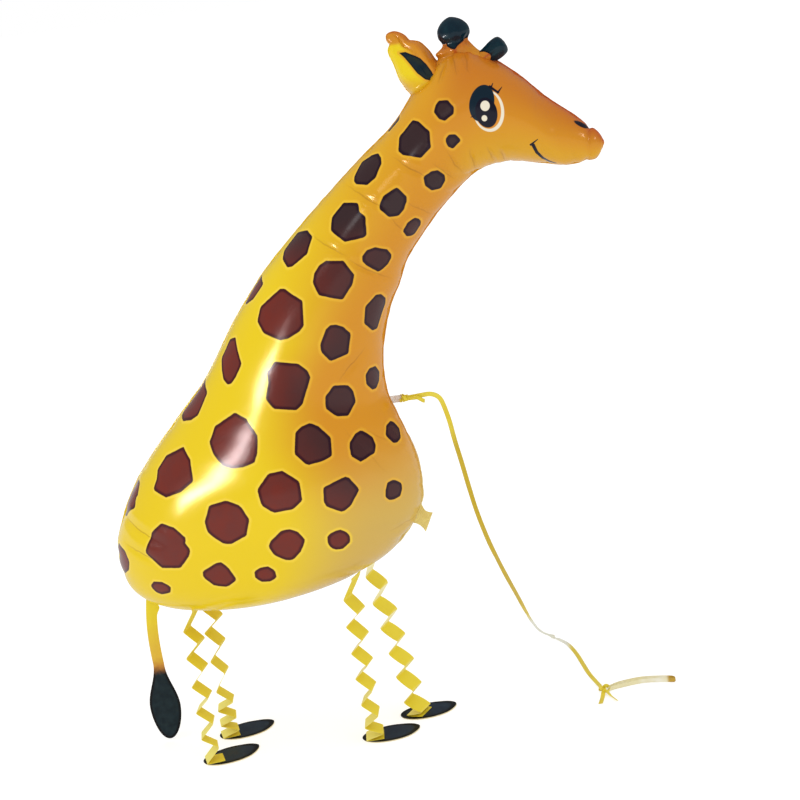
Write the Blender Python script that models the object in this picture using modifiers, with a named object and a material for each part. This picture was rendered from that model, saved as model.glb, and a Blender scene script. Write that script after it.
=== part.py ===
"""Giraffe foil balloon: a sealed foil envelope on four folded strip legs, with a tail and a ribbon leash.

Metres, +Z up, +X towards the nose and +Y to the giraffe's left. The floor is z = 0, and the origin
lies under the middle of the balloon. The envelope is sealed and full of gas, so it is one solid.
"""

import math

import bmesh
import bpy
from mathutils import Vector
from mathutils.bvhtree import BVHTree

# Clearance between pieces that touch
GAP = 0.0003

# Foil envelope
ENVELOPE_HEIGHT = 0.602
SHARE = ENVELOPE_HEIGHT / 100
OUTLINE_BASE = 0.147
SEAM_PINCH = 1.12
BODY_SIDES = 32
EAR_SIDES = 14
RIB_STEPS = 2

# Horns: the stalks are foil tubes, the knobs are rounded
HORN_SINK = 0.012
HORN_FLATNESS = 0.9
HORN_SEGMENTS = 14
HORN_RINGS = 9

# Filler tab, flat foil on the seam of the chest
FILLER_THICKNESS = 0.0016
FILLER_ROOT_WIDTH = 0.019
FILLER_END_WIDTH = 0.022
FILLER_LENGTH = 0.0165
FILLER_SINK = 0.012
FILLER_SKEW = 0.0025

# Folded paper legs
PAPER = 0.0005
REAR_STRIP_WIDTH = 0.0225
FRONT_STRIP_WIDTH = 0.0265
FACET_LENGTH = 0.0218
FOLD_ROUND = 0.0024
FOLD_CROWD = 0.07
LEG_ROOT = 0.016

# Oval card hooves
HOOF_LENGTH = 0.0645
HOOF_WIDTH = 0.040
HOOF_THICKNESS = 0.0012
HOOF_POINT = 1.25
HOOF_SEGMENTS = 36

# Tail, one flat strip that widens to a drop
TAIL_THICKNESS = 0.0006
TAIL_STRIP_WIDTH = 0.0125
TAIL_TIP_WIDTH = 0.0335
TAIL_TIP_LENGTH = 0.074
TAIL_TIP_CLEARANCE = 0.003
TAIL_TIP_WIDEST = 0.50
TAIL_TIP_FULLNESS = 2.2
TAIL_ROOT = 0.024
TAIL_SWAY = 0.0085
TAIL_BOW = 0.0022
TAIL_STEPS = 26
TAIL_AT = (-44.3, 0.0)

# Ribbon leash and the tab that it is tied to
TAB_LENGTH = 0.0120
TAB_WIDTH = 0.0080
TAB_THICKNESS = 0.0010
TAB_SINK = 0.006
RIBBON_WIDTH = 0.0050
RIBBON_SPACING = 0.0125
ROUTE_STEPS = 24
KNOT_RADIUS = 0.0065
KNOT_FLATNESS = 0.62
KNOT_SEGMENTS = 14
KNOT_RINGS = 8
KNOT_END_LENGTH = 0.030
KNOT_END_THICKNESS = 0.0010
KNOT_END_HEADINGS = (-95, -62)
LOOP_SPACING = 0.0080

# The outline as ribs, each a pair of opposite points: back x and z, front x and z, then the
# thickness as a share of the depth between them. Points are hundredths of the envelope's height,
# across from the origin and up from OUTLINE_BASE. The first and last rows close the shape.
BODY_RIBS = (
    (-27.3, 1.1, -27.3, 1.1, 0.60),
    (-35.1, 2.1, -15.7, 2.6, 0.60),
    (-42.2, 3.7, -3.9, 5.9, 0.60),
    (-46.4, 7.3, 3.9, 10.4, 0.60),
    (-47.6, 14.0, 8.6, 16.7, 0.60),
    (-45.5, 20.0, 9.4, 20.6, 0.62),
    (-41.9, 26.3, 9.3, 24.6, 0.65),
    (-37.4, 31.7, 8.4, 28.6, 0.68),
    (-31.7, 37.7, 6.9, 33.1, 0.73),
    (-25.8, 44.1, 5.5, 37.9, 0.80),
    (-19.6, 53.1, 5.7, 44.8, 0.87),
    (-12.9, 61.2, 7.9, 52.3, 0.93),
    (-6.6, 67.2, 10.4, 57.0, 0.96),
    (-0.5, 72.6, 12.6, 61.3, 0.96),
    (6.6, 78.5, 18.2, 67.8, 0.96),
    (11.9, 82.6, 23.2, 72.3, 0.94),
    (15.3, 86.1, 26.4, 74.4, 0.91),
    (18.0, 89.6, 28.9, 75.1, 0.85),
    (21.3, 92.6, 32.1, 75.3, 0.79),
    (25.0, 94.2, 35.3, 74.7, 0.76),
    (29.1, 93.3, 37.8, 74.1, 0.76),
    (34.0, 89.9, 40.2, 73.4, 0.79),
    (39.1, 84.8, 42.6, 73.0, 0.84),
    (43.2, 81.1, 45.2, 73.6, 0.92),
    (46.2, 79.0, 46.9, 75.1, 0.96),
    (47.6, 76.9, 47.6, 76.9, 0.96),
)
EAR_RIBS = (
    (22.4, 87.8, 22.4, 87.8, 0.60),
    (18.7, 87.6, 22.9, 91.7, 0.60),
    (16.2, 89.8, 21.0, 94.4, 0.60),
    (14.5, 92.8, 19.2, 96.2, 0.55),
    (13.9, 95.6, 17.3, 97.4, 0.50),
    (13.8, 97.8, 15.5, 98.4, 0.50),
    (14.3, 98.8, 14.3, 98.8, 0.50),
)

# Horns, all in the same hundredths: the foot and the middle of the knob, the knob's size along
# the stalk and across it, and the stalk's radius at the foot and at the knob
HORNS = (
    ((25.3, 93.2), (24.9, 97.5), 4.7, 5.6, 4.8, 1.5),
    ((29.2, 92.3), (31.0, 93.4), 5.1, 3.2, 1.3, 1.2),
)

# Filler tab: the place on the chest's seam, in the same hundredths, and the way it points
FILLER_AT = (7.6, 15.2)
FILLER_LEAN = math.radians(-39)

# Legs: where the strip leaves the belly and where it meets its hoof, in the same hundredths, the
# folds' headings at its top and foot and how late the strip turns, its facets and width, then the
# hoof's heading and how far its middle lies from the strip
LEGS = {
    "near_rear": {
        "top": (-34.9, -5.0),
        "foot": (-33.6, -10.5),
        "headings": (-9, 22),
        "turn": 2.0,
        "facets": 11,
        "width": REAR_STRIP_WIDTH,
        "hoof_heading": 35,
        "hoof_reach": 3.7,
    },
    "far_rear": {
        "top": (-33.8, 4.8),
        "foot": (-32.9, 0.8),
        "headings": (-9, 22),
        "turn": 2.0,
        "facets": 11,
        "width": REAR_STRIP_WIDTH,
        "hoof_heading": 33,
        "hoof_reach": 3.3,
    },
    "near_front": {
        "top": (-5.1, -4.7),
        "foot": (-4.6, -4.8),
        "headings": (-12, 10),
        "turn": 2.0,
        "facets": 13,
        "width": FRONT_STRIP_WIDTH,
        "hoof_heading": 22,
        "hoof_reach": 3.0,
    },
    "far_front": {
        "top": (-3.2, 5.0),
        "foot": (2.2, 4.8),
        "headings": (-11, -32),
        "turn": 1.2,
        "facets": 13,
        "width": FRONT_STRIP_WIDTH,
        "hoof_heading": 24,
        "hoof_reach": 1.8,
    },
}

# Leash: where its tab sits on the front seam, in the same hundredths, and its route in metres
TAB_AT = (6.1, 36.3)
RIBBON_ROUTE = (
    (0.0510, 0.0000, 0.3660),
    (0.0600, 0.0000, 0.3662),
    (0.0690, 0.0010, 0.3668),
    (0.0780, 0.0020, 0.3668),
    (0.0850, 0.0040, 0.3630),
    (0.0890, 0.0060, 0.3550),
    (0.0930, 0.0100, 0.3340),
    (0.0950, 0.0160, 0.3110),
    (0.0980, 0.0240, 0.2840),
    (0.1010, 0.0350, 0.2510),
    (0.1040, 0.0500, 0.2180),
    (0.1085, 0.0740, 0.1790),
    (0.1130, 0.0960, 0.1490),
    (0.1175, 0.1220, 0.1180),
    (0.1225, 0.1520, 0.0850),
    (0.1270, 0.1800, 0.0540),
    (0.1310, 0.2020, 0.0310),
    (0.1370, 0.2200, 0.0130),
    (0.1470, 0.2280, 0.0040),
    (0.1580, 0.2190, 0.0029),
    (0.1680, 0.2040, 0.0029),
    (0.1760, 0.1840, 0.0029),
    (0.1830, 0.1620, 0.0029),
    (0.1900, 0.1360, 0.0029),
    (0.1980, 0.1070, 0.0029),
    (0.2080, 0.0780, 0.0029),
)
KNOT_AT = (0.2180, 0.0490)
LOOP_TIP = (0.2960, 0.0660)
LOOP_BOW = 0.012

FOIL_YELLOW = (0.83, 0.62, 0.02, 1)
PAPER_YELLOW = (0.80, 0.62, 0.05, 1)
CARD_SLATE = (0.02, 0.03, 0.04, 1)
RIBBON_YELLOW = (0.80, 0.66, 0.05, 1)
CLEAR_FILM = (0.85, 0.84, 0.82, 1)


def material(name, colour, roughness, metallic=0.0):
    """A plain Principled material."""
    made = bpy.data.materials.new(name)
    made.use_nodes = True
    shader = made.node_tree.nodes["Principled BSDF"]
    shader.inputs["Base Color"].default_value = colour
    shader.inputs["Roughness"].default_value = roughness
    shader.inputs["Metallic"].default_value = metallic
    return made


def collection(name):
    """A new collection in the scene."""
    made = bpy.data.collections.new(name)
    bpy.context.scene.collection.children.link(made)
    return made


def piece(name, data, finish, group):
    """An object that holds a finished piece."""
    made = bpy.data.objects.new(name, data)
    made.data.materials.append(finish)
    group.objects.link(made)
    return made


def helper(name, data, group):
    """A cutter or an operand, which isn't a piece of its own."""
    made = bpy.data.objects.new(name, data)
    made.hide_render = True
    made.display_type = "WIRE"
    group.objects.link(made)
    return made


def combine(target, other, operation):
    """Live Boolean of one object with a helper."""
    modifier = target.modifiers.new(other.name, "BOOLEAN")
    modifier.operation = operation
    modifier.object = other
    modifier.solver = "EXACT"


def between(a, b, c, d, t):
    """The smooth curve through rows a, b, c and d, at the share t of the way from b to c."""
    return tuple(
        0.5 * (2 * q + (r - p) * t + (2 * p - 5 * q + 4 * r - s) * t**2 + (3 * q - p - 3 * r + s) * t**3)
        for p, q, r, s in zip(a, b, c, d)
    )


def smoothed(rows, steps, before, after):
    """Rows along the smooth curve through the given ones, steps to each interval."""
    padded = [before, *rows, after]
    fine = [
        between(*padded[i : i + 4], step / steps)
        for i in range(len(rows) - 1)
        for step in range(steps)
    ]
    return [*fine, tuple(rows[-1])]


def placed(x, z):
    """A point of the outline, from hundredths of the envelope's height to metres."""
    return Vector((x * SHARE, 0, OUTLINE_BASE + z * SHARE))


def turned(rib):
    """A rib with its back and front changed over, as the outline runs on past a closed end."""
    back_x, back_z, front_x, front_z, share = rib
    return (front_x, front_z, back_x, back_z, share)


def rib_ring(rib, sides):
    """The pinched oval section at one rib."""
    back = placed(rib[0], rib[1])
    front = placed(rib[2], rib[3])
    half = (front - back) / 2
    thick = half.length * rib[4]
    for i in range(sides):
        angle = 2 * math.pi * i / sides
        swell = math.copysign(abs(math.sin(angle)) ** SEAM_PINCH, math.sin(angle))
        yield (back + front) / 2 + half * math.cos(angle) + Vector((0, thick * swell, 0))


def inflated(name, ribs, sides):
    """Closed mesh lofted through the ribs, from its first point to its last."""
    rows = smoothed(ribs, RIB_STEPS, turned(ribs[1]), turned(ribs[-2]))
    mesh = bmesh.new()
    start = mesh.verts.new(placed(*rows[0][:2]))
    end = mesh.verts.new(placed(*rows[-1][:2]))
    rings = [[mesh.verts.new(point) for point in rib_ring(row, sides)] for row in rows[1:-1]]
    for i in range(sides):
        j = (i + 1) % sides
        mesh.faces.new((start, rings[0][i], rings[0][j]))
        for lower, upper in zip(rings, rings[1:]):
            mesh.faces.new((lower[i], upper[i], upper[j], lower[j]))
        mesh.faces.new((rings[-1][i], end, rings[-1][j]))
    return finished(mesh, name)


def finished(mesh, name):
    """The bmesh as a smooth shaded mesh with its faces pointing out."""
    bmesh.ops.recalc_face_normals(mesh, faces=mesh.faces)
    for face in mesh.faces:
        face.smooth = True
    data = bpy.data.meshes.new(name)
    mesh.to_mesh(data)
    mesh.free()
    return data


def grown(source, name):
    """A copy of a closed mesh whose surface stands out by the clearance."""
    mesh = bmesh.new()
    mesh.from_mesh(source)
    mesh.normal_update()
    for vert in mesh.verts:
        vert.co += vert.normal * GAP
    return finished(mesh, name)


def horn_stalk(name, foot, knob, foot_radius, knob_radius):
    """Tube from inside the head to the middle of the knob, wider at its foot."""
    along = knob - foot
    root = foot - along.normalized() * HORN_SINK
    mesh = bmesh.new()
    bmesh.ops.create_cone(
        mesh,
        cap_ends=True,
        segments=HORN_SEGMENTS,
        radius1=foot_radius,
        radius2=knob_radius,
        depth=(knob - root).length,
    )
    turn = along.to_track_quat("Z", "Y")
    for vert in mesh.verts:
        vert.co = (root + knob) / 2 + turn @ vert.co
    return finished(mesh, name)


def horn_knob(name, foot, knob, length, width):
    """Rounded knob on the end of a stalk."""
    mesh = bmesh.new()
    bmesh.ops.create_uvsphere(mesh, u_segments=HORN_SEGMENTS, v_segments=HORN_RINGS, radius=0.5)
    turn = (knob - foot).to_track_quat("Z", "Y")
    for vert in mesh.verts:
        x, y, z = vert.co
        vert.co = knob + turn @ Vector((x * width, y * width * HORN_FLATNESS, z * length))
    return finished(mesh, name)


def filler_tab(name):
    """Flat flared tab with a slanting end, its root inside the chest."""
    root = placed(*FILLER_AT)
    along = Vector((math.cos(FILLER_LEAN), 0, math.sin(FILLER_LEAN)))
    across = Vector((along.z, 0, -along.x))
    half = Vector((0, FILLER_THICKNESS / 2, 0))
    stations = (
        (-FILLER_SINK, FILLER_ROOT_WIDTH, 0),
        (FILLER_LENGTH / 3, FILLER_ROOT_WIDTH, 0),
        (FILLER_LENGTH, FILLER_END_WIDTH, FILLER_SKEW),
    )
    mesh = bmesh.new()
    rings = []
    for reach, width, skew in stations:
        lower_edge = root + along * (reach + skew) + across * width / 2
        upper_edge = root + along * (reach - skew) - across * width / 2
        corners = (lower_edge + half, lower_edge - half, upper_edge - half, upper_edge + half)
        rings.append([mesh.verts.new(corner) for corner in corners])
    for lower, upper in zip(rings, rings[1:]):
        for i in range(4):
            mesh.faces.new((lower[i], lower[i - 1], upper[i - 1], upper[i]))
    mesh.faces.new(rings[0])
    mesh.faces.new(rings[-1])
    return finished(mesh, name)


def make_envelope(group, helpers, finish):
    """Body, neck and head, with the ear, the horns and the filler tab joined on."""
    envelope = piece("foil_envelope", inflated("envelope", BODY_RIBS, BODY_SIDES), finish, group)
    parts = [("ear", inflated("ear", EAR_RIBS, EAR_SIDES))]
    for i, (foot, knob, *sizes) in enumerate(HORNS, 1):
        ends = (placed(*foot), placed(*knob))
        length, width, *radii = (size * SHARE for size in sizes)
        parts.append((f"horn_stalk_{i}", horn_stalk(f"horn_stalk_{i}", *ends, *radii)))
        parts.append((f"horn_knob_{i}", horn_knob(f"horn_knob_{i}", *ends, length, width)))
    parts.append(("filler_tab", filler_tab("filler_tab")))
    for name, data in parts:
        combine(envelope, helper(name, data, helpers), "UNION")
    return envelope


def on_plan(spot):
    """A point of the floor, from hundredths of the envelope's height to metres."""
    return Vector((spot[0] * SHARE, spot[1] * SHARE, 0))


def underside(tree, spot):
    """Height of the balloon's underside over a point of the floor."""
    hit, _, _, _ = tree.ray_cast(spot, Vector((0, 0, 1)))
    return hit.z


def rounded(path):
    """The zigzag's folds as small bends, three points each."""
    bent = [path[0]]
    for before, fold, after in zip(path, path[1:], path[2:]):
        first = fold.lerp(before, FOLD_ROUND / (before - fold).length)
        last = fold.lerp(after, FOLD_ROUND / (after - fold).length)
        bent += [first, (first + last) / 4 + fold / 2, last]
    return [*bent, path[-1]]


def zigzag(top_z, foot_z, facets):
    """Side view of a folded strip: swing to and fro, share of the way down, and height.

    The number of facets is odd, so the flat end on the hoof points forward.
    """
    drop = top_z - foot_z
    levels = [
        share + FOLD_CROWD * share * (1 - share)
        for share in (fold / facets for fold in range(facets + 1))
    ]
    steps = [(b - a) * drop for a, b in zip(levels, levels[1:])]
    steps.append(steps[-1])
    path = []
    for fold, (level, step) in enumerate(zip(levels, steps)):
        reach = math.sqrt(max(FACET_LENGTH**2 - step**2, 0)) / 2
        side = 1 if fold % 2 == 0 else -1
        path.append(Vector((side * reach, level, top_z - level * drop)))
    root = path[0] + Vector((0, 0, LEG_ROOT))
    patch = path[-1] + Vector((FACET_LENGTH, 0, 0))
    return rounded([root, *path, patch])


def make_leg(name, plan, tree, group, clearance, finish):
    """Folded strip from the belly down to the flat end on its hoof."""
    top, foot = on_plan(plan["top"]), on_plan(plan["foot"])
    heading_top, heading_foot = plan["headings"]
    foot_z = HOOF_THICKNESS + GAP + PAPER / 2
    mesh = bmesh.new()
    rows = []
    for swing, level, height in zigzag(underside(tree, top), foot_z, plan["facets"]):
        turn = (heading_foot - heading_top) * max(level, 0) ** plan["turn"]
        heading = math.radians(heading_top + turn)
        along = Vector((math.cos(heading), math.sin(heading), 0))
        across = Vector((-along.y, along.x, 0)) * plan["width"] / 2
        middle = top.lerp(foot, level) + along * swing
        middle.z = height
        rows.append((mesh.verts.new(middle - across), mesh.verts.new(middle + across)))
    for (a, b), (c, d) in zip(rows, rows[1:]):
        mesh.faces.new((a, b, d, c))
    leg = piece(f"leg_{name}", finished(mesh, f"leg_{name}"), finish, group)
    wall = leg.modifiers.new("paper", "SOLIDIFY")
    wall.thickness = PAPER
    wall.offset = 0
    combine(leg, clearance, "DIFFERENCE")


def make_hoof(name, plan, group, finish):
    """Flat oval card with a slightly pointed toe, lying on the floor."""
    heading = math.radians(plan["hoof_heading"])
    reach = plan["hoof_reach"] * SHARE
    outline = bpy.data.curves.new(f"hoof_{name}", "CURVE")
    outline.dimensions = "2D"
    outline.fill_mode = "BOTH"
    outline.extrude = HOOF_THICKNESS / 2
    spline = outline.splines.new("POLY")
    spline.points.add(HOOF_SEGMENTS - 1)
    spline.use_cyclic_u = True
    for i, point in enumerate(spline.points):
        angle = 2 * math.pi * i / HOOF_SEGMENTS
        x = math.cos(angle) * HOOF_LENGTH / 2
        narrowing = HOOF_POINT if math.cos(angle) > 0 else 1.0
        y = math.copysign(abs(math.sin(angle)) ** narrowing, math.sin(angle)) * HOOF_WIDTH / 2
        point.co = (x, y, 0, 1)
    hoof = piece(f"hoof_{name}", outline, finish, group)
    along = Vector((math.cos(heading), math.sin(heading), 0))
    hoof.location = on_plan(plan["foot"]) + along * reach + Vector((0, 0, HOOF_THICKNESS / 2))
    hoof.rotation_euler.z = heading


def tail_half_width(rise):
    """Half the tail's width at a height above its tip."""
    strip = TAIL_STRIP_WIDTH / 2
    if rise >= TAIL_TIP_LENGTH:
        return strip
    share = 1 - rise / TAIL_TIP_LENGTH
    if share < TAIL_TIP_WIDEST:
        ease = (1 - math.cos(math.pi * share / TAIL_TIP_WIDEST)) / 2
        return strip + (TAIL_TIP_WIDTH / 2 - strip) * ease
    fall = (share - TAIL_TIP_WIDEST) / (1 - TAIL_TIP_WIDEST)
    return TAIL_TIP_WIDTH / 2 * math.sqrt(max(1 - fall**TAIL_TIP_FULLNESS, 0))


def tail_middle(share):
    """Where the tail's middle runs, at a share of its length up from the tip."""
    bow = TAIL_BOW * math.sin(math.pi * (2 * share - 1)) if share > 0.5 else 0
    return on_plan(TAIL_AT).x + TAIL_SWAY * share**3 - bow


def make_tail(tree, group, clearance, finish):
    """Flat strip in the plane of the seam, hanging from the rump, with a drop shaped tip."""
    length = underside(tree, on_plan(TAIL_AT)) - TAIL_TIP_CLEARANCE
    mesh = bmesh.new()
    rows = []
    for i in range(TAIL_STEPS):
        share = 1 - i / TAIL_STEPS
        middle = tail_middle(share)
        half = tail_half_width(length * share)
        height = TAIL_TIP_CLEARANCE + length * share
        rows.append([mesh.verts.new((middle + side * half, 0, height)) for side in (-1, 1)])
    root = [mesh.verts.new(vert.co + Vector((0, 0, TAIL_ROOT))) for vert in rows[0]]
    for (a, b), (c, d) in zip([root, *rows], rows):
        mesh.faces.new((a, b, d, c))
    tip = mesh.verts.new((tail_middle(0), 0, TAIL_TIP_CLEARANCE))
    mesh.faces.new((rows[-1][0], rows[-1][1], tip))
    tail = piece("tail", finished(mesh, "tail"), finish, group)
    wall = tail.modifiers.new("strip", "SOLIDIFY")
    wall.thickness = TAIL_THICKNESS
    wall.offset = 0
    combine(tail, clearance, "DIFFERENCE")


def make_tab(group, clearance, finish):
    """Small clear tab on the front seam that the leash is tied to."""
    seam = placed(*TAB_AT)
    mesh = bmesh.new()
    bmesh.ops.create_cube(mesh, size=1)
    for vert in mesh.verts:
        vert.co.x *= TAB_LENGTH + TAB_SINK
        vert.co.y *= TAB_THICKNESS
        vert.co.z *= TAB_WIDTH
        vert.co += seam + Vector(((TAB_LENGTH - TAB_SINK) / 2, 0, 0))
    tab = piece("leash_tab", finished(mesh, "leash_tab"), finish, group)
    combine(tab, clearance, "DIFFERENCE")


def evenly(points, spacing):
    """Points along the smooth curve through a route, about one spacing apart."""
    first = tuple(2 * a - b for a, b in zip(points[0], points[1]))
    last = tuple(2 * a - b for a, b in zip(points[-1], points[-2]))
    fine = [Vector(row) for row in smoothed(points, ROUTE_STEPS, first, last)]
    lengths = [0.0]
    for a, b in zip(fine, fine[1:]):
        lengths.append(lengths[-1] + (b - a).length)
    count = max(2, round(lengths[-1] / spacing))
    route = []
    k = 0
    for i in range(count + 1):
        target = lengths[-1] * i / count
        while k < len(fine) - 2 and lengths[k + 1] < target:
            k += 1
        share = (target - lengths[k]) / (lengths[k + 1] - lengths[k])
        route.append(fine[k].lerp(fine[k + 1], share))
    return route


def make_cord(name, points, spacing, group, finish):
    """Round tube along a route, as wide as the ribbon."""
    data = bpy.data.curves.new(name, "CURVE")
    data.dimensions = "3D"
    data.bevel_depth = RIBBON_WIDTH / 2
    data.bevel_resolution = 2
    data.use_fill_caps = True
    route = evenly(points, spacing)
    spline = data.splines.new("POLY")
    spline.points.add(len(route) - 1)
    for point, place in zip(spline.points, route):
        point.co = (*place, 1)
    piece(name, data, finish, group)


def loop_route():
    """The hand loop: out from the knot, round its tip and back, lying on the floor."""
    knot = Vector((*KNOT_AT, 0))
    tip = Vector((*LOOP_TIP, 0))
    along = (tip - knot).normalized()
    across = Vector((-along.y, along.x, 0))
    height = Vector((0, 0, RIBBON_WIDTH / 2 + GAP))
    reach = (tip - knot).length
    start = KNOT_RADIUS + 2 * GAP
    side = LOOP_SPACING / 2
    turn = reach - side
    stations = (
        (start, side * 0.85),
        (reach * 0.25, side),
        (reach * 0.55, side),
        (reach * 0.80, side),
        (turn, side),
        (turn + side * 0.7, side * 0.7),
    )
    back = [(share, -offset) for share, offset in reversed(stations)]
    route = []
    for share, offset in (*stations, (reach, 0.0), *back):
        bow = LOOP_BOW * math.sin(math.pi * share / reach)
        route.append(tuple(knot + height + along * share + across * (offset + bow)))
    return route


def make_knot(group, helpers, finish):
    """Overhand knot with its two short ends, flat on the floor."""
    centre = Vector((*KNOT_AT, KNOT_RADIUS * KNOT_FLATNESS + GAP))
    mesh = bmesh.new()
    bmesh.ops.create_uvsphere(mesh, u_segments=KNOT_SEGMENTS, v_segments=KNOT_RINGS, radius=KNOT_RADIUS)
    for vert in mesh.verts:
        vert.co = centre + Vector((vert.co.x, vert.co.y, vert.co.z * KNOT_FLATNESS))
    knot = piece("leash_knot", finished(mesh, "leash_knot"), finish, group)
    for i, degrees in enumerate(KNOT_END_HEADINGS):
        heading = math.radians(degrees)
        strip = bmesh.new()
        bmesh.ops.create_cube(strip, size=1)
        for vert in strip.verts:
            along = (vert.co.x + 0.5) * KNOT_END_LENGTH
            side = vert.co.y * RIBBON_WIDTH
            vert.co = Vector(
                (
                    KNOT_AT[0] + math.cos(heading) * along - math.sin(heading) * side,
                    KNOT_AT[1] + math.sin(heading) * along + math.cos(heading) * side,
                    GAP + (vert.co.z + 0.5) * KNOT_END_THICKNESS + i * KNOT_END_THICKNESS / 2,
                )
            )
        end = helper(f"knot_end_{i + 1}", finished(strip, f"knot_end_{i + 1}"), helpers)
        combine(knot, end, "UNION")


def make_ribbon(group, helpers, finish):
    """The leash from its tab to its knot, and the hand loop beyond."""
    tab_end = placed(*TAB_AT) + Vector((TAB_LENGTH + GAP, 0, 0))
    knot = Vector((*KNOT_AT, RIBBON_WIDTH / 2 + GAP))
    last = Vector(RIBBON_ROUTE[-1])
    meets = knot + (last - knot).normalized() * (KNOT_RADIUS + 2 * GAP)
    route = [tuple(tab_end), *RIBBON_ROUTE[1:], tuple(meets)]
    make_cord("leash_ribbon", route, RIBBON_SPACING, group, finish)
    make_cord("leash_loop", loop_route(), RIBBON_SPACING / 2, group, finish)
    make_knot(group, helpers, finish)


def main():
    for old in list(bpy.data.objects):
        bpy.data.objects.remove(old, do_unlink=True)
    group = collection("giraffe_foil_balloon")
    helpers = collection("helpers")
    foil = material("printed_foil", FOIL_YELLOW, 0.25)
    paper = material("yellow_paper", PAPER_YELLOW, 0.6)
    card = material("slate_card", CARD_SLATE, 0.45)
    ribbon = material("yellow_ribbon", RIBBON_YELLOW, 0.35)
    film = material("clear_film", CLEAR_FILM, 0.3)

    envelope = make_envelope(group, helpers, foil)
    body = bmesh.new()
    body.from_mesh(envelope.data)
    tree = BVHTree.FromBMesh(body)
    body.free()
    clearance = helper("envelope_clearance", grown(envelope.data, "envelope_clearance"), helpers)

    for name, plan in LEGS.items():
        make_leg(name, plan, tree, group, clearance, paper)
        make_hoof(name, plan, group, card)
    make_tail(tree, group, clearance, paper)
    make_tab(group, clearance, film)
    make_ribbon(group, helpers, ribbon)


main()
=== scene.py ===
"""Giraffe foil balloon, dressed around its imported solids.

Laid out as a Blender add-on and run as a script. Metres, +Z up, +X towards the nose, +Y to the
giraffe's left, the floor at z = 0. Outlines are given in hundredths of the envelope's height.
"""

import math

import bpy
import numpy as np
from mathutils import Matrix, Quaternion, Vector
from mathutils.bvhtree import BVHTree


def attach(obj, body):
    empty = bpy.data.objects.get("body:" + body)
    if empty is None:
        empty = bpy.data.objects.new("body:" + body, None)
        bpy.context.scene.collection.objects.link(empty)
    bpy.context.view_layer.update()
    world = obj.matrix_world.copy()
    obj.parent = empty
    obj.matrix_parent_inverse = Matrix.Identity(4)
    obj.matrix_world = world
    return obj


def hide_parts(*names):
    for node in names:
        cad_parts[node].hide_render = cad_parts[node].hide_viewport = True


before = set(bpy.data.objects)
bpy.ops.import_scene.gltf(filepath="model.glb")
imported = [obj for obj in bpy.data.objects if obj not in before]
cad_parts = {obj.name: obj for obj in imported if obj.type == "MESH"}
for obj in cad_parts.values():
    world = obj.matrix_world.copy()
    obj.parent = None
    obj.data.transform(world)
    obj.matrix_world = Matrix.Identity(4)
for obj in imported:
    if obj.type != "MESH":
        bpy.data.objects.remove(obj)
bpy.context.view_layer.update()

bl_info = {
    "name": "Giraffe foil balloon",
    "version": (1, 0, 0),
    "blender": (4, 5, 0),
    "location": "3D View > Sidebar > Balloon",
    "description": "Models a printed foil giraffe on folded paper legs, with its ribbon leash",
    "category": "Object",
}

BODY = "root"
FOIL, PAPER, CARD = "printed_foil", "yellow_paper", "slate_card"
RIBBON, FILM = "yellow_ribbon", "clear_film"

# The envelope's outline, as in the solids
ENVELOPE_HEIGHT = 0.602
SHARE = ENVELOPE_HEIGHT / 100
OUTLINE_BASE = 0.147
SEAM_PINCH = 1.12
# Steps between two stations of a smooth curve, for measuring it
FINE_STEPS = 40

# Ribs from the rump to the nose: back x and z, front x and z, thickness as a share of the depth
BODY_RIBS = (
    (-27.3, 1.1, -27.3, 1.1, 0.60),
    (-35.1, 2.1, -15.7, 2.6, 0.60),
    (-42.2, 3.7, -3.9, 5.9, 0.60),
    (-46.4, 7.3, 3.9, 10.4, 0.60),
    (-47.6, 14.0, 8.6, 16.7, 0.60),
    (-45.5, 20.0, 9.4, 20.6, 0.62),
    (-41.9, 26.3, 9.3, 24.6, 0.65),
    (-37.4, 31.7, 8.4, 28.6, 0.68),
    (-31.7, 37.7, 6.9, 33.1, 0.73),
    (-25.8, 44.1, 5.5, 37.9, 0.80),
    (-19.6, 53.1, 5.7, 44.8, 0.87),
    (-12.9, 61.2, 7.9, 52.3, 0.93),
    (-6.6, 67.2, 10.4, 57.0, 0.96),
    (-0.5, 72.6, 12.6, 61.3, 0.96),
    (6.6, 78.5, 18.2, 67.8, 0.96),
    (11.9, 82.6, 23.2, 72.3, 0.94),
    (15.3, 86.1, 26.4, 74.4, 0.91),
    (18.0, 89.6, 28.9, 75.1, 0.85),
    (21.3, 92.6, 32.1, 75.3, 0.79),
    (25.0, 94.2, 35.3, 74.7, 0.76),
    (29.1, 93.3, 37.8, 74.1, 0.76),
    (34.0, 89.9, 40.2, 73.6, 0.79),
    (39.1, 84.8, 41.4, 73.5, 0.84),
    (42.4, 82.1, 43.3, 73.6, 0.89),
    (44.6, 80.1, 44.4, 74.0, 0.92),
    (45.4, 78.8, 45.0, 73.9, 0.90),
    (46.0, 78.8, 45.6, 73.9, 0.88),
    (46.6, 78.4, 46.2, 74.2, 0.86),
    (47.2, 77.4, 46.9, 75.0, 0.80),
    (47.5, 76.3, 47.5, 76.3, 0.80),
)
EAR_RIBS = (
    (22.6, 87.6, 22.6, 87.6, 1.30),
    (17.5, 87.9, 22.4, 91.4, 1.40),
    (16.3, 88.8, 21.2, 93.7, 1.15),
    (15.5, 90.1, 20.4, 95.1, 0.90),
    (15.0, 91.4, 19.8, 95.9, 0.72),
    (14.7, 92.7, 19.1, 96.5, 0.60),
    (14.4, 93.8, 18.2, 96.8, 0.55),
    (14.0, 94.8, 17.5, 97.0, 0.52),
    (13.9, 95.9, 16.9, 97.8, 0.55),
    (14.3, 96.8, 16.1, 98.4, 0.65),
    (13.9, 97.5, 15.1, 98.7, 0.75),
    (14.0, 98.4, 14.0, 98.4, 0.80),
)

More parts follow.
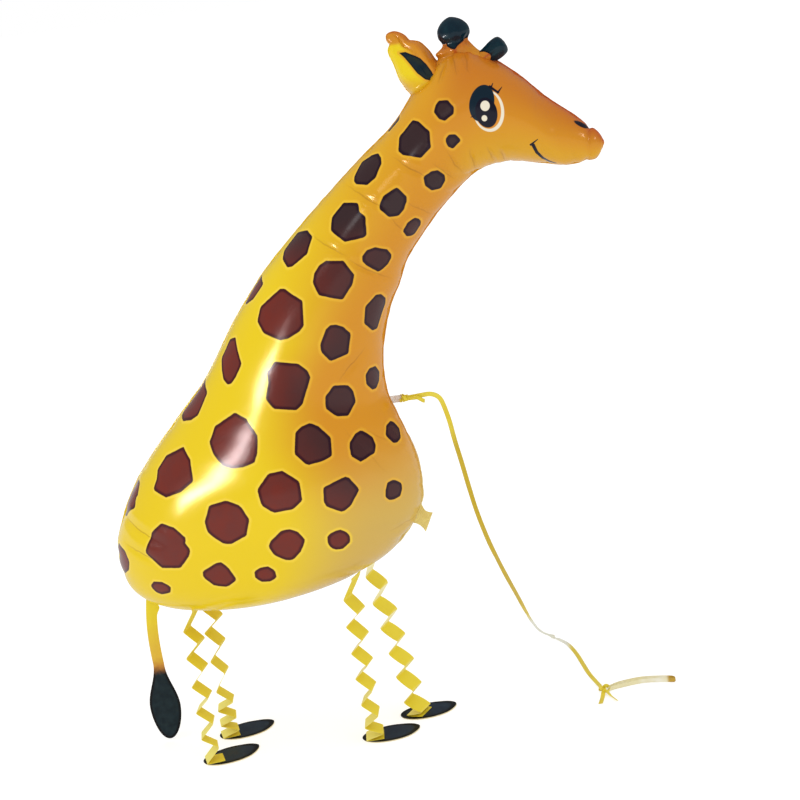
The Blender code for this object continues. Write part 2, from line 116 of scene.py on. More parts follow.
# Corners of the printed spots, x and z in turn, on the flank rolled out flat, alike on both flanks
SPOTS = (
    (22.7, 83.8, 21.9, 84.1, 21.0, 85.4, 21.3, 86.4, 21.9, 87.2, 23.6, 87.0, 24.5, 85.7, 24.4,
     84.8),
    (10.5, 84.3, 9.5, 85.0, 11.9, 87.4, 12.9, 86.1),
    (16.8, 84.7, 17.9, 84.3, 19.9, 82.3, 19.8, 79.7, 18.0, 78.2, 14.8, 79.1, 14.1, 79.7, 14.1,
     82.2),
    (25.0, 80.3, 23.4, 79.0, 22.8, 79.4, 22.5, 80.3, 22.6, 80.8, 23.2, 81.4, 24.3, 81.3),
    (9.8, 80.1, 10.6, 79.2, 10.8, 78.3, 9.7, 75.9, 8.1, 74.9, 5.7, 75.4, 5.2, 75.9, 5.0, 76.8, 5.9,
     79.5, 8.1, 80.2),
    (17.9, 74.9, 19.3, 75.7, 20.3, 75.7, 21.5, 74.4, 21.5, 73.3, 20.7, 72.0, 19.1, 72.2, 18.0,
     73.4),
    (13.4, 73.9, 14.7, 72.2, 14.6, 71.4, 13.9, 69.9, 13.0, 69.1, 11.4, 69.1, 10.0, 70.7, 10.0,
     71.1, 10.9, 72.7),
    (7.2, 66.5, 6.9, 66.3, 3.5, 66.0, 1.0, 68.2, 1.1, 70.3, 3.4, 72.5, 6.2, 72.1, 6.3, 70.6, 7.4,
     69.6),
    (16.5, 67.2, 16.9, 66.5, 17.0, 65.7, 15.8, 64.0, 15.1, 64.0, 14.1, 64.5, 13.5, 65.7, 14.3,
     67.2, 15.8, 67.8),
    (-7.9, 63.0, -10.0, 64.7, -10.6, 66.3, -8.2, 69.3, -4.4, 68.9, -2.8, 67.6, -3.6, 64.9, -6.9,
     63.0),
    (6.1, 63.2, 6.9, 64.0, 8.3, 64.2, 10.5, 63.1, 11.2, 61.8, 11.2, 61.2, 10.6, 60.4, 8.8, 59.7,
     6.5, 61.8, 6.0, 62.5),
    (4.5, 60.3, 4.0, 58.7, 2.1, 56.4, -1.8, 57.8, -2.6, 59.9, -2.2, 61.4, -1.2, 62.6, 0.0, 63.2,
     3.0, 62.9),
    (-19.7, 57.7, -21.6, 58.4, -17.8, 63.0, -14.3, 60.7, -16.7, 58.4),
    (7.5, 48.9, 5.6, 51.0, 6.0, 54.1, 8.2, 55.5, 9.1, 55.2, 10.5, 53.7, 10.7, 52.6, 8.6, 48.7),
    (-8.1, 59.4, -4.7, 57.2, -5.0, 53.1, -5.7, 52.3, -8.1, 51.2, -9.4, 51.1, -12.7, 52.5, -14.2,
     54.5, -13.7, 56.7, -9.0, 59.5),
    (-1.3, 46.2, -2.6, 48.0, -2.6, 49.3, -1.2, 51.9, -0.5, 52.4, 0.4, 52.3, 1.6, 51.6, 2.8, 50.1,
     2.0, 46.7),
    (-20.9, 44.1, -22.2, 44.9, -24.2, 48.6, -22.3, 51.8, -20.2, 52.1, -17.7, 47.5, -19.1, 45.3,
     -20.2, 44.2),
    (7.9, 42.3, 9.2, 40.7, 9.0, 39.5, 7.7, 38.8, 6.5, 39.0, 5.2, 40.4, 5.2, 42.0, 6.1, 42.6),
    (-10.8, 47.5, -6.7, 46.8, -5.3, 45.4, -5.0, 44.4, -7.0, 39.8, -8.0, 39.1, -11.9, 39.8, -13.0,
     41.3, -12.2, 44.2, -12.3, 46.0),
    (0.8, 36.4, -1.4, 36.9, -3.1, 38.6, -2.9, 40.5, -1.3, 42.0, 1.3, 41.4, 2.2, 40.2, 2.5, 38.3),
    (-31.0, 44.9, -26.9, 42.7, -28.3, 39.1, -30.1, 38.3, -33.4, 37.9, -35.6, 38.6, -36.6, 39.9),
    (9.7, 32.9, 10.6, 32.4, 12.1, 30.9, 11.9, 29.7, 10.6, 29.4, 9.7, 29.6, 8.0, 31.4, 8.3, 32.6),
    (-19.1, 39.6, -17.0, 38.6, -15.1, 35.7, -15.4, 32.7, -16.0, 31.4, -18.1, 30.8, -20.2, 30.7,
     -21.8, 31.1, -23.8, 33.2, -24.6, 34.9, -23.5, 37.4),
    (-2.8, 30.5, -4.4, 30.0, -7.1, 29.8, -9.0, 31.9, -8.5, 35.5, -7.4, 36.3, -6.0, 36.6, -4.8,
     35.9, -2.7, 33.5),
    (2.9, 33.5, 5.1, 31.7, 5.5, 30.3, 5.2, 29.3, 2.2, 28.5, 0.6, 29.8, 0.5, 31.2, 0.6, 32.0, 1.8,
     33.2),
    (-30.7, 33.9, -28.7, 32.1, -27.9, 28.8, -30.7, 27.0, -34.4, 25.9, -37.9, 26.8, -37.3, 28.4,
     -37.7, 29.8, -35.8, 32.1),
    (6.6, 20.9, 6.2, 21.4, 6.4, 22.6, 6.9, 23.7, 8.0, 23.9, 8.9, 23.6, 10.1, 22.7, 10.0, 21.8, 9.4,
     20.8, 7.6, 20.6),
    (-8.6, 24.1, -10.2, 22.9, -13.8, 22.7, -15.6, 24.2, -16.0, 26.8, -13.8, 29.3, -11.4, 29.5,
     -8.7, 27.3),
    (1.4, 24.1, -0.5, 21.6, -2.0, 20.8, -4.7, 22.4, -5.0, 23.1, -4.8, 25.6, -0.8, 26.7, -0.2,
     26.4),
    (-49.3, 20.7, -51.3, 20.5, -47.5, 26.3, -45.7, 27.3, -44.1, 27.0, -43.6, 25.5, -44.4, 24.8,
     -43.9, 23.2, -46.6, 22.1),
    (-25.0, 24.7, -21.7, 25.5, -19.2, 24.4, -18.0, 21.9, -18.9, 19.2, -21.9, 17.9, -23.1, 18.0,
     -24.8, 19.2, -25.9, 20.2, -26.2, 21.9),
    (-1.4, 16.2, -1.5, 15.1, -3.1, 14.0, -4.6, 14.2, -5.3, 15.1, -5.4, 15.9, -5.3, 16.9, -4.7,
     17.4, -3.0, 17.8, -1.9, 17.1),
    (-9.1, 17.1, -10.3, 15.0, -12.0, 13.6, -13.2, 13.9, -14.8, 15.1, -15.5, 16.7, -15.0, 17.6,
     -12.8, 19.3, -11.4, 19.4, -10.1, 18.8),
    (-35.7, 21.4, -32.7, 20.8, -30.5, 19.1, -30.8, 18.1, -29.8, 17.0, -30.1, 16.1, -32.4, 13.7,
     -36.7, 13.5, -40.1, 15.8, -38.4, 19.4),
    (-50.2, 15.8, -46.5, 15.2, -45.3, 13.6, -46.1, 11.8, -49.1, 10.2, -51.8, 11.5, -49.7, 14.1,
     -51.5, 14.7),
    (-15.3, 10.7, -16.5, 10.1, -18.0, 10.2, -19.0, 11.2, -18.9, 12.3, -17.5, 13.0, -16.1, 13.0,
     -15.3, 12.0),
    (-22.2, 11.0, -24.1, 9.8, -26.5, 10.2, -28.3, 12.0, -28.2, 12.8, -25.3, 14.4, -24.3, 14.6,
     -23.3, 13.6),
    (-40.1, 9.7, -39.2, 10.4, -36.9, 10.5, -35.2, 9.7, -35.6, 8.8, -38.3, 8.1, -39.4, 8.5, -40.3,
     9.4),
)

# How much the spots' corners are rounded, how far round a spot its distance is measured, and
# the distance given beyond that
SPOT_ROUND = 0.45
SPOT_MARGIN = 2.5
SPOT_FAR = 3.0

# Corners of the dark lining inside the ear, in metres across and up
EAR_LINING = (
    (0.0945, 0.7204),
    (0.1015, 0.7206),
    (0.1091, 0.7168),
    (0.1167, 0.7128),
    (0.1221, 0.7068),
    (0.1270, 0.6989),
    (0.1293, 0.6920),
    (0.1272, 0.6895),
    (0.1202, 0.6922),
    (0.1124, 0.6989),
    (0.1060, 0.7072),
    (0.0997, 0.7151),
)

# The printed eye and nostril: middle x and z, half length, half width, lean in degrees, ink
FACE_OVALS = (
    (0.1813, 0.6552, 0.0202, 0.0152, 0, "white"),
    (0.1805, 0.6563, 0.0182, 0.0131, 0, "iris"),
    (0.1755, 0.6638, 0.0178, 0.0122, 18, "lid"),
    (0.1790, 0.6542, 0.0148, 0.0108, -4, "pupil"),
    (0.1786, 0.6611, 0.0050, 0.0046, 7, "white"),
    (0.1764, 0.6492, 0.0030, 0.0028, 7, "white"),
    (0.2671, 0.6276, 0.0080, 0.0018, -54.5, "pupil"),
)

# Printed strokes: from x and z, to x and z, half width at each end
FACE_STROKES = (
    (0.1846, 0.6786, 0.1924, 0.6719, 0.0012, 0.0010),
    (0.1920, 0.6720, 0.1961, 0.6764, 0.0011, 0.0003),
    (0.1862, 0.6780, 0.1878, 0.6812, 0.0009, 0.0003),
    (0.1667, 0.6527, 0.1631, 0.6517, 0.0009, 0.0003),
    (0.2173, 0.6168, 0.2248, 0.6214, 0.0011, 0.0004),
    (0.2196, 0.6162, 0.2218, 0.6080, 0.0018, 0.0016),
    (0.2218, 0.6080, 0.2262, 0.6010, 0.0016, 0.0014),
    (0.2262, 0.6010, 0.2315, 0.5963, 0.0014, 0.0011),
    (0.2315, 0.5963, 0.2380, 0.5930, 0.0011, 0.0005),
)

# Long creases in the film: flank (-1 near, 1 far, 0 both), from x and z, to x and z, depth, width
CREASES = (
    (0, 0.081, 0.620, 0.114, 0.595, 0.0012, 0.0045),
    (0, 0.088, 0.575, 0.109, 0.556, 0.0008, 0.0040),
    (-1, 0.028, 0.597, 0.069, 0.571, 0.0011, 0.0045),
    (0, 0.069, 0.563, 0.082, 0.542, 0.0008, 0.0040),
    (-1, -0.013, 0.552, 0.021, 0.531, 0.0010, 0.0050),
    (-1, 0.025, 0.525, 0.057, 0.499, 0.0011, 0.0050),
    (0, 0.134, 0.619, 0.145, 0.596, 0.0010, 0.0035),
    (0, 0.120, 0.610, 0.135, 0.591, 0.0010, 0.0035),
    (1, 0.020, 0.560, 0.052, 0.530, 0.0012, 0.0060),
    (0, -0.003, 0.405, 0.023, 0.429, 0.0010, 0.0060),
    (-1, -0.004, 0.354, 0.029, 0.304, 0.0005, 0.0080),
    (0, 0.010, 0.352, 0.043, 0.322, 0.0005, 0.0070),
    (-1, -0.269, 0.275, -0.208, 0.254, 0.0014, 0.0080),
    (0, -0.262, 0.248, -0.214, 0.232, 0.0012, 0.0060),
    (0, 0.157, 0.619, 0.157, 0.594, 0.0009, 0.0035),
    (0, 0.174, 0.619, 0.177, 0.600, 0.0009, 0.0035),
    (0, 0.186, 0.615, 0.187, 0.601, 0.0009, 0.0035),
    (0, 0.147, 0.716, 0.153, 0.694, 0.0012, 0.0032),
    (0, 0.160, 0.712, 0.166, 0.694, 0.0010, 0.0030),
    (0, 0.140, 0.706, 0.134, 0.688, 0.0010, 0.0030),
    (0, 0.024, 0.236, 0.052, 0.240, 0.0006, 0.0050),
    (0, 0.022, 0.218, 0.048, 0.214, 0.0006, 0.0050),
)

# Shares of the depth and width above, the least width, how high the film stands beside a crease,
# how far from it its dent and its painted shade line are marked, and the depth from which they are
# marked in full
CREASE_DEPTH, CREASE_WIDTH = 1.25, 0.62
CREASE_NARROWEST = 0.0022
CREASE_BANKS = 0.45
CREASE_REACH = 0.009
CREASE_FULL = 0.0012

# Places where the film puckers most, in metres across and up, and how far round them
LIVELY = (
    (0.165, 0.600, 0.040),
    (0.280, 0.612, 0.030),
    (0.055, 0.235, 0.060),
    (-0.270, 0.240, 0.070),
    (-0.120, 0.160, 0.080),
    (0.150, 0.712, 0.035),
)
LIVELY_BASE, LIVELY_MORE = 0.55, 0.75

# Horns: foot and knob middle in metres across and up, the profile from the root to the top as
# distance from the foot and radius, and the share of the radius across the head at root and knob
HORNS = (
    {
        "name": "horn_near",
        "foot": (0.1523, 0.7081),
        "knob": (0.1499, 0.7340),
        "profile": (
            (-12.0, 34.0), (-6.0, 31.0), (-1.0, 25.5), (2.0, 21.5), (5.0, 18.6), (9.0, 15.2),
            (13.0, 12.3), (15.5, 11.6), (18.0, 12.8), (21.5, 15.5), (25.5, 16.3), (30.0, 15.4),
            (34.5, 12.2), (37.5, 8.6), (39.6, 4.6), (40.4, 2.0),
        ),
        "flatness": (0.50, 0.88),
        "dark_from": 12.8,
        "sag": 3.8,
        "shoulder": 0.0055,
        "pleats": 0.15,
    },
    {
        "name": "horn_far",
        "foot": (0.1758, 0.7026),
        "knob": (0.1866, 0.7093),
        "profile": (
            (-12.0, 7.0), (-6.0, 7.6), (-2.0, 8.4), (1.0, 8.7), (5.0, 8.8), (10.0, 9.1),
            (15.0, 9.7), (19.5, 10.0), (23.5, 9.7), (26.4, 8.2), (27.9, 5.0), (28.4, 2.2),
        ),
        "flatness": (0.90, 0.90),
        "dark_from": 5.0,
        "sag": -5.5,
        "shoulder": 0.0,
        "pleats": 0.05,
    },
)

HORN_RINGS, HORN_SIDES = 90, 96
# Where the stalk's film is gathered under the knob and where its shoulder lies, from the foot,
# each with its reach
HORN_GATHER, HORN_SHOULDER = (0.0140, 0.0065), (0.0078, 0.0036)

# Filler tab of plain foil on the seam of the chest
FILLER_AT = (7.6, 15.2)
FILLER_LEAN = math.radians(-39)
FILLER_SINK = 0.010
FILLER_LENGTH = 0.0165
FILLER_SKEW = 0.0025
FILLER_PLACES = (-0.010, -0.003, 0.001, 0.005, 0.009, 0.013, 0.0165)
FILLER_WIDTHS = (0.0380, 0.0290, 0.0225, 0.0185, 0.0176, 0.0195, 0.0228)
FILLER_ROWS, FILLER_COLUMNS = 28, 22
FILLER_WALL = 0.0005

# The welded edge: where its rows lie as shares of its width, its wall, and how near two points
# are welded
SEAM_STATIONS = (-0.9, 0.2, 1.0)
SEAM_WALL = 0.00035
WELD = 0.00002

# Folded strips: drops are the shares of the height that the facets take from the belly down,
# round how much narrower a strip is at its folds, FOLD_TURN and FOLD_TILT how unevenly it was
# folded, in degrees and metres
FACET_LENGTH = 0.0218
FOLD_ROUND = 0.0016
FOLD_TURN, FOLD_TILT = 1.3, 0.0004
FACET_ROWS, LEG_COLUMNS = 8, 8
LEG_ROOT = 0.004
HOOF_TOP = 0.0012
LEG_FOOT = HOOF_TOP + 0.0006
LEG_LOWEST = HOOF_TOP + 0.0003
LEGS = {
    "near_rear": {
        "top": (-34.9, -5.0), "foot": (-33.6, -10.5), "headings": (-9, 22), "turn": 2.0,
        "drops": (19, 12, 14, 12.5, 15, 12, 13, 12, 14, 10, 14),
        "width": 0.0225, "hoof_heading": 35, "hoof_reach": 3.7,
    },
    "far_rear": {
        "top": (-33.8, 4.8), "foot": (-32.9, 0.8), "headings": (-9, 22), "turn": 2.0,
        "drops": (13, 12, 12, 12, 15, 12, 17, 11, 6.5, 8.5, 6, 6.5, 5),
        "width": 0.0225, "hoof_heading": 33, "hoof_reach": 3.3,
    },
    "near_front": {
        "top": (-5.1, -4.7), "foot": (-4.6, -4.8), "headings": (-12, 10), "turn": 2.0,
        "drops": (20, 14, 13, 14, 13, 14, 12.5, 13.5, 13.5, 13, 11, 8.5, 5),
        "width": 0.0265, "hoof_heading": 22, "hoof_reach": 3.0, "round": 0.06,
    },
    "far_front": {
        "top": (-3.2, 5.0), "foot": (2.2, 4.8), "headings": (-11, -17), "turn": 1.2,
        "drops": (18.75, 12.5, 13.75, 12.5, 12.5, 12.5, 12, 12.5, 11.5, 13, 12, 10, 3.5),
        "width": 0.0285, "hoof_heading": 24, "hoof_reach": 1.8, "round": 0.14,
        # Every other facet painted pale, a painted highlight
        "painted_lit_facets": True,
    },
}
HOOF_LENGTH = 0.0645
HOOF_WIDTH = 0.040
HOOF_POINT = 1.25
HOOF_SIDES = 96
HOOF_INSETS = (0.08, 0.08, 0.12, 0.24)
HOOF_BEVEL = 0.00012
# Card and its back: thickness, height of the underside, shift on the floor, how much larger
HOOF_CARD = (0.0006, 0.00055, (0.0, 0.0), 0.0)
HOOF_BACK = (0.0004, 0.0001, (0.0010, -0.0022), -0.0004)

# Tail: a flat strip in the plane of the seam that widens to a drop
TAIL_AT = (-44.3, 0.0)
TAIL_STRIP = 0.0125
TAIL_TIP = 0.0355
TAIL_TIP_LENGTH = 0.088
TAIL_TIP_WIDEST = 0.57
TAIL_TIP_FULLNESS = 1.8
TAIL_CLEARANCE = 0.003
TAIL_SWAY = 0.0085
TAIL_BOW = 0.0022
TAIL_SINK = 0.003
TAIL_WALL = 0.0004
TAIL_ROWS, TAIL_COLUMNS = 150, 14
# The bulge on the tail's front edge: height, reach and size
TAIL_KNUCKLE = (0.157, 0.0050, 0.0030)

# Leash: its tab on the front seam, then the route of the ribbon to its knot, in metres
TAB_AT = (6.1, 36.3)
TAB_FROM, TAB_TO = -0.0025, 0.0122
TAB_HALF_WIDTH = 0.0039
TAB_ROUND_FROM = 0.0085
TAB_WALL = 0.0003
TAB_ROWS, TAB_COLUMNS = 16, 20
RIBBON_ROUTE = (
    (0.0482, 0.0000, 0.3655),
    (0.0600, 0.0000, 0.3662),
    (0.0690, 0.0010, 0.3668),
    (0.0780, 0.0020, 0.3668),
    (0.0850, 0.0040, 0.3630),
    (0.0890, 0.0060, 0.3550),
    (0.0930, 0.0100, 0.3340),
    (0.0950, 0.0160, 0.3110),
    (0.0980, 0.0240, 0.2840),
    (0.1010, 0.0350, 0.2510),
    (0.1040, 0.0500, 0.2180),
    (0.1085, 0.0740, 0.1790),
    (0.1130, 0.0960, 0.1490),
    (0.1175, 0.1220, 0.1180),
    (0.1225, 0.1520, 0.0850),
    (0.1270, 0.1800, 0.0540),
    (0.1310, 0.2020, 0.0310),
    (0.1370, 0.2200, 0.0130),
    (0.1470, 0.2280, 0.0036),
    (0.1580, 0.2190, 0.0012),
    (0.1680, 0.2040, 0.0009),
    (0.1760, 0.1840, 0.0009),
    (0.1830, 0.1620, 0.0009),
    (0.1900, 0.1360, 0.0009),
    (0.1980, 0.1070, 0.0009),
    (0.2080, 0.0780, 0.0012),
    (0.2160, 0.0550, 0.0022),
)
# Which way the ribbon's width points, from its tab to its knot
RIBBON_TWIST = (
    (0.00, (0.0, 0.0, 1.0)),
    (0.06, (0.1, 0.0, 1.0)),
    (0.12, (1.0, 0.0, 0.5)),
    (0.30, (1.0, 0.1, 0.1)),
    (0.52, (1.0, -0.2, 0.0)),
    (0.58, (0.6, -0.8, 0.2)),
    (0.62, (0.2, -1.0, 0.3)),
    (0.67, (0.6, -0.8, 0.1)),
    (0.74, (1.0, 0.2, 0.0)),
    (1.00, (1.0, 0.3, 0.0)),
)
KNOT_AT = (0.2180, 0.0490)
KNOT_RADIUS = 0.0062
LOOP_TIP = (0.2960, 0.0660)
LOOP_BOW = 0.012
LOOP_SPACING = 0.0080
LOOP_HEIGHT = 0.0029
KNOT_HEIGHT = 0.0036
KNOT_ENDS = ((-95, 0.030), (-62, 0.030))
TIE_AT = (0.0500, 0.0, 0.3656)
TIE_RADIUS = 0.0034
RIBBON_WALL = 0.0003
RIBBON_POINTS, LOOP_POINTS, RING_POINTS, TIE_POINTS, END_POINTS = 520, 220, 120, 90, 40
BAND_COLUMNS = 8

# Camera, at the photograph's viewing angle
CAMERA_AZIMUTH = math.radians(10)
CAMERA_ELEVATION = math.radians(13)
CAMERA_ROLL = math.radians(8)
CAMERA_TARGET = Vector((0.0455, 0.0, 0.364))
CAMERA_DISTANCE = 1.995
CAMERA_LENS = 85.5

# Soft lights: what they point at, azimuth, elevation and roll in degrees, distance, width,
# height, spread of the beam in degrees, power in watts, and whether it makes the highlights or
# lights the matt colours
LIGHTS = (
    ("strip_light", (-0.0545, -0.08, 0.37), -53, 9.9, 29, 0.50, 0.36, 0.070, 180, 2.9, "gloss"),
    ("neck_light", (0.065, -0.045, 0.592), -25, 18, 48, 0.50, 0.15, 0.09, 16, 0.0015, "gloss"),
    ("nose_light", (0.2756, -0.0145, 0.6147), 76, 20, 0, 0.08, 0.06, 0.03, 16, 0.0006, "gloss"),
    ("key_light", (-0.03, 0.0, 0.42), -52, 58, 0, 3.2, 2.4, 2.4, 180, 6, "matt"),
)
FLOOR_SIZE = 120
# How bright the floor glows for the matt colours, for the camera and in the gloss
FLOOR_GLOW = {
    "matt": (0.68, 0.68, 0.68, 1.0),
    "camera": (1.0, 1.0, 1.0, 1.0),
    "gloss": (0.30, 0.30, 0.30, 1.0),
}

# Finish of the film, and the tint over the body's whole print
FILM_FINISH = {"Metallic": 0.03, "Specular_IOR_Level": 0.40, "IOR": 1.45}
BODY_TINT = (1.0, 0.96, 0.9, 1.0)
# Borders of the print, as distances in metres from an edge, less than zero inside it
SPOT_EDGE = (0.0004, -0.0004)
RIM_BAND = (-0.0042, -0.0018)
HALO_BAND = (0.0038, 0.0010)
FACE_EDGE = (0.0003, -0.0003)
# Heights between which the spots turn dark
DARK_SPOTS_FROM = (0.49, 0.57)
# Depths of the fine dents, and how fine the card's fibre is
FILM_DENTS = 0.0012
PAPER_DENTS = 0.0004
CARD_GRAIN = 700.0


def ink(red, green, blue):
    """A colour read off in 0 to 255, as the linear values that the shaders take."""
    shares = (value / 255 for value in (red, green, blue))
    return (*((s / 12.92 if s <= 0.04045 else ((s + 0.055) / 1.055) ** 2.4) for s in shares), 1.0)


INKS = {
    name: ink(*levels)
    for name, levels in {
        "brow": (190, 92, 30),
        # chest: tan on the lower chest, a painted reflection of the pale floor
        "chest": (214, 180, 92),
        "warm halo": (246, 192, 52),
        "spot mottle": (112, 46, 40),
        "dark rim": (30, 4, 30),
        "white": (243, 238, 220),
        "iris": (226, 150, 48),
        "lid": (6, 33, 50),
        "pupil": (14, 12, 36),
        # crease: painted shade along the film's creases
        "crease": (150, 92, 28),
        "lining halo": (232, 150, 44),
        "lining": (12, 34, 46),
        "lining mottle": (36, 46, 40),
        "lining rim": (6, 14, 30),
        "knob": (4, 32, 46),
        "knob mottle": (10, 46, 56),
        "knob rim": (4, 10, 24),
        "tab": (246, 226, 136),
        "tab cloud": (232, 206, 118),
        "worn seam": (176, 120, 44),
        # pale seam: the seam's painted reflection of the floor under the chest
        "pale seam": (248, 232, 168),
        # low paper: the painted highlight on the strips, yellower near the floor
        "low paper": (242, 230, 120),
        "fold": (250, 232, 120),
        "crushed fold": (196, 160, 40),
        "tail": (226, 184, 60),
        "tail brown": (196, 132, 52),
        "tail dark brown": (110, 72, 40),
        "drop": (12, 30, 38),
        "drop mottle": (24, 42, 48),
        "drop rim": (6, 10, 16),
        "hoof cloud": (36, 52, 70),
        "scuff": (70, 76, 84),
        "hoof rim": (8, 10, 16),
        "backing": (240, 228, 190),
        # Painted shade on the hanging ribbon
        "ribbon hanging shade": (206, 174, 8),
        # Painted highlight on the ribbon where it lies on the floor
        "ribbon floor sheen": (236, 236, 220),
        "loop tip": (196, 156, 40),
        "film tab": (236, 226, 214),
        "film tab cloud": (222, 204, 186),
    }.items()
}


def ease(value, low=0.0, high=1.0):
    """Smooth step from 0 at low to 1 at high."""
    share = np.clip((value - low) / (high - low), 0, 1)
    return share * share * (3 - 2 * share)


def hill(value, middle, reach):
    """A smooth hill, 1 at its middle and close to 0 at twice its reach."""
    return np.exp(-(((value - middle) / reach) ** 2))


def ripple(places, length, seed):
    """Uneven waves along a line, between -1 and 1, about one length from turn to turn."""
    heights = np.random.default_rng(seed).uniform(-1, 1, 4096)
    at = np.asarray(places) / length + 64
    step = np.floor(at).astype(int)
    share = ease(at - step)
    return heights[step % 4096] * (1 - share) + heights[(step + 1) % 4096] * share


def added(operator, name, **settings):
    """The object that one of Blender's add operators makes, alone in the selection."""
    bpy.ops.object.select_all(action="DESELECT")
    operator(**settings)
    made = bpy.context.object
    made.name = made.data.name = name
    return made


def points_of(obj):
    """The mesh's points as an array."""
    flat = np.empty(len(obj.data.vertices) * 3)
    obj.data.vertices.foreach_get("co", flat)
    return flat.reshape(-1, 3)


def move_points(obj, points):
    """Puts the mesh's points in new places."""
    obj.data.vertices.foreach_set("co", np.ascontiguousarray(points, dtype=float).ravel())
    obj.data.update()


def write_layer(obj, name, values):
    """A number for each point of the mesh, for its material to read."""
    layer = obj.data.attributes.new(name, "FLOAT", "POINT")
    layer.data.foreach_set("value", np.ascontiguousarray(values, dtype=np.float32).ravel())


def in_edit_mode(operator, **settings):
    """Runs one of Blender's mesh operators on the whole of the active mesh."""
    bpy.ops.object.mode_set(mode="EDIT")
    bpy.ops.mesh.select_all(action="SELECT")
    operator(**settings)
    bpy.ops.object.mode_set(mode="OBJECT")


def outward():
    """Turns the faces of the active mesh outwards, which has to be closed."""
    in_edit_mode(bpy.ops.mesh.normals_make_consistent, inside=False)


def welded():
    """Joins the points of the active mesh that lie on each other."""
    in_edit_mode(bpy.ops.mesh.remove_doubles, threshold=WELD)


def apply_modifiers(obj):
    """Applies all the modifiers in their order."""
    for modifier in list(obj.modifiers):
        bpy.ops.object.modifier_apply(modifier=modifier.name)


def settled(obj, finish, slot, *nodes, smooth=180):
    """Gives a finished piece its material, its shading, its body and its node. The slot is not
    used.
    """
    bpy.ops.object.select_all(action="DESELECT")
    obj.select_set(True)
    bpy.context.view_layer.objects.active = obj
    bpy.ops.object.transform_apply(location=True, rotation=True, scale=True)
    obj.data.materials.clear()
    obj.data.materials.append(finish)
    if smooth >= 180:
        bpy.ops.object.shade_smooth()
    else:
        bpy.ops.object.shade_smooth_by_angle(angle=math.radians(smooth))
    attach(obj, BODY)
    if nodes:
        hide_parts(*nodes)
    return obj


def shaped_sphere(name, places):
    """A UV sphere whose points are moved onto a grid of rings, the poles on its ends."""
    rings, sides = places.shape[0] - 1, places.shape[1]
    made = added(
        bpy.ops.mesh.primitive_uv_sphere_add, name, segments=sides, ring_count=rings, radius=1
    )
    x, y, z = points_of(made).T
    ring = np.rint((np.arcsin(np.clip(z, -1, 1)) / np.pi + 0.5) * rings).astype(int)
    side = np.rint(np.arctan2(y, x) / (2 * np.pi) * sides).astype(int) % sides
    move_points(made, places[ring, side])
    return made, ring, side


def shaped_grid(name, places):
    """A flat grid whose points are moved to the given rows and columns of places."""
    rows, columns = places.shape[0] - 1, places.shape[1] - 1
    made = added(
        bpy.ops.mesh.primitive_grid_add, name, x_subdivisions=columns, y_subdivisions=rows, size=1
    )
    x, y, _ = points_of(made).T
    column = np.rint((x + 0.5) * columns).astype(int)
    row = np.rint((y + 0.5) * rows).astype(int)
    move_points(made, places[row, column])
    return made, row, column


def thickened(obj, thickness, bevel=0.0):
    """Gives a sheet its thickness, and its long edges a small rounding."""
    wall = obj.modifiers.new("thickness", "SOLIDIFY")
    wall.thickness = thickness
    wall.offset = 0
    if bevel:
        edge = obj.modifiers.new("edge", "BEVEL")
        edge.width = bevel
        edge.segments = 1
        edge.limit_method = "ANGLE"
        edge.angle_limit = math.radians(60)
    apply_modifiers(obj)
    outward()


def direction(azimuth, elevation):
    """The way to a lamp or the camera, its azimuth counted from the near side."""
    level = math.cos(elevation)
    return Vector((math.sin(azimuth) * level, -math.cos(azimuth) * level, math.sin(elevation)))


def belly_height(tree, at):
    """Height of the body's underside over a point of the floor."""
    return tree.ray_cast(Vector((at.x, at.y, 0)), Vector((0, 0, 1)))[0].z


def on_plan(spot):
    """A point of the floor, from hundredths of the envelope's height to metres."""
    return Vector((spot[0] * SHARE, spot[1] * SHARE, 0))


def smooth_rows(rows, at):
    """Rows along the smooth curve through the given ones, at places counted in rows."""
    step = np.clip(np.floor(at).astype(int), 0, len(rows) - 4)
    t = (at - step)[:, None]
    p, q, r, s = (rows[step + k] for k in range(4))
    square, cube = 2 * p - 5 * q + 4 * r - s, 3 * q - p - 3 * r + s
    return 0.5 * (2 * q + (r - p) * t + square * t**2 + cube * t**3)


def turned(rib):
    """A rib with its back and front changed over, as the outline runs on past a closed end."""
    return (*rib[2:4], *rib[0:2], rib[4])


def run_of(points):
    """Length of the line up to each of its points."""
    return np.concatenate([[0], np.cumsum(np.linalg.norm(np.diff(points, axis=0), axis=1))])


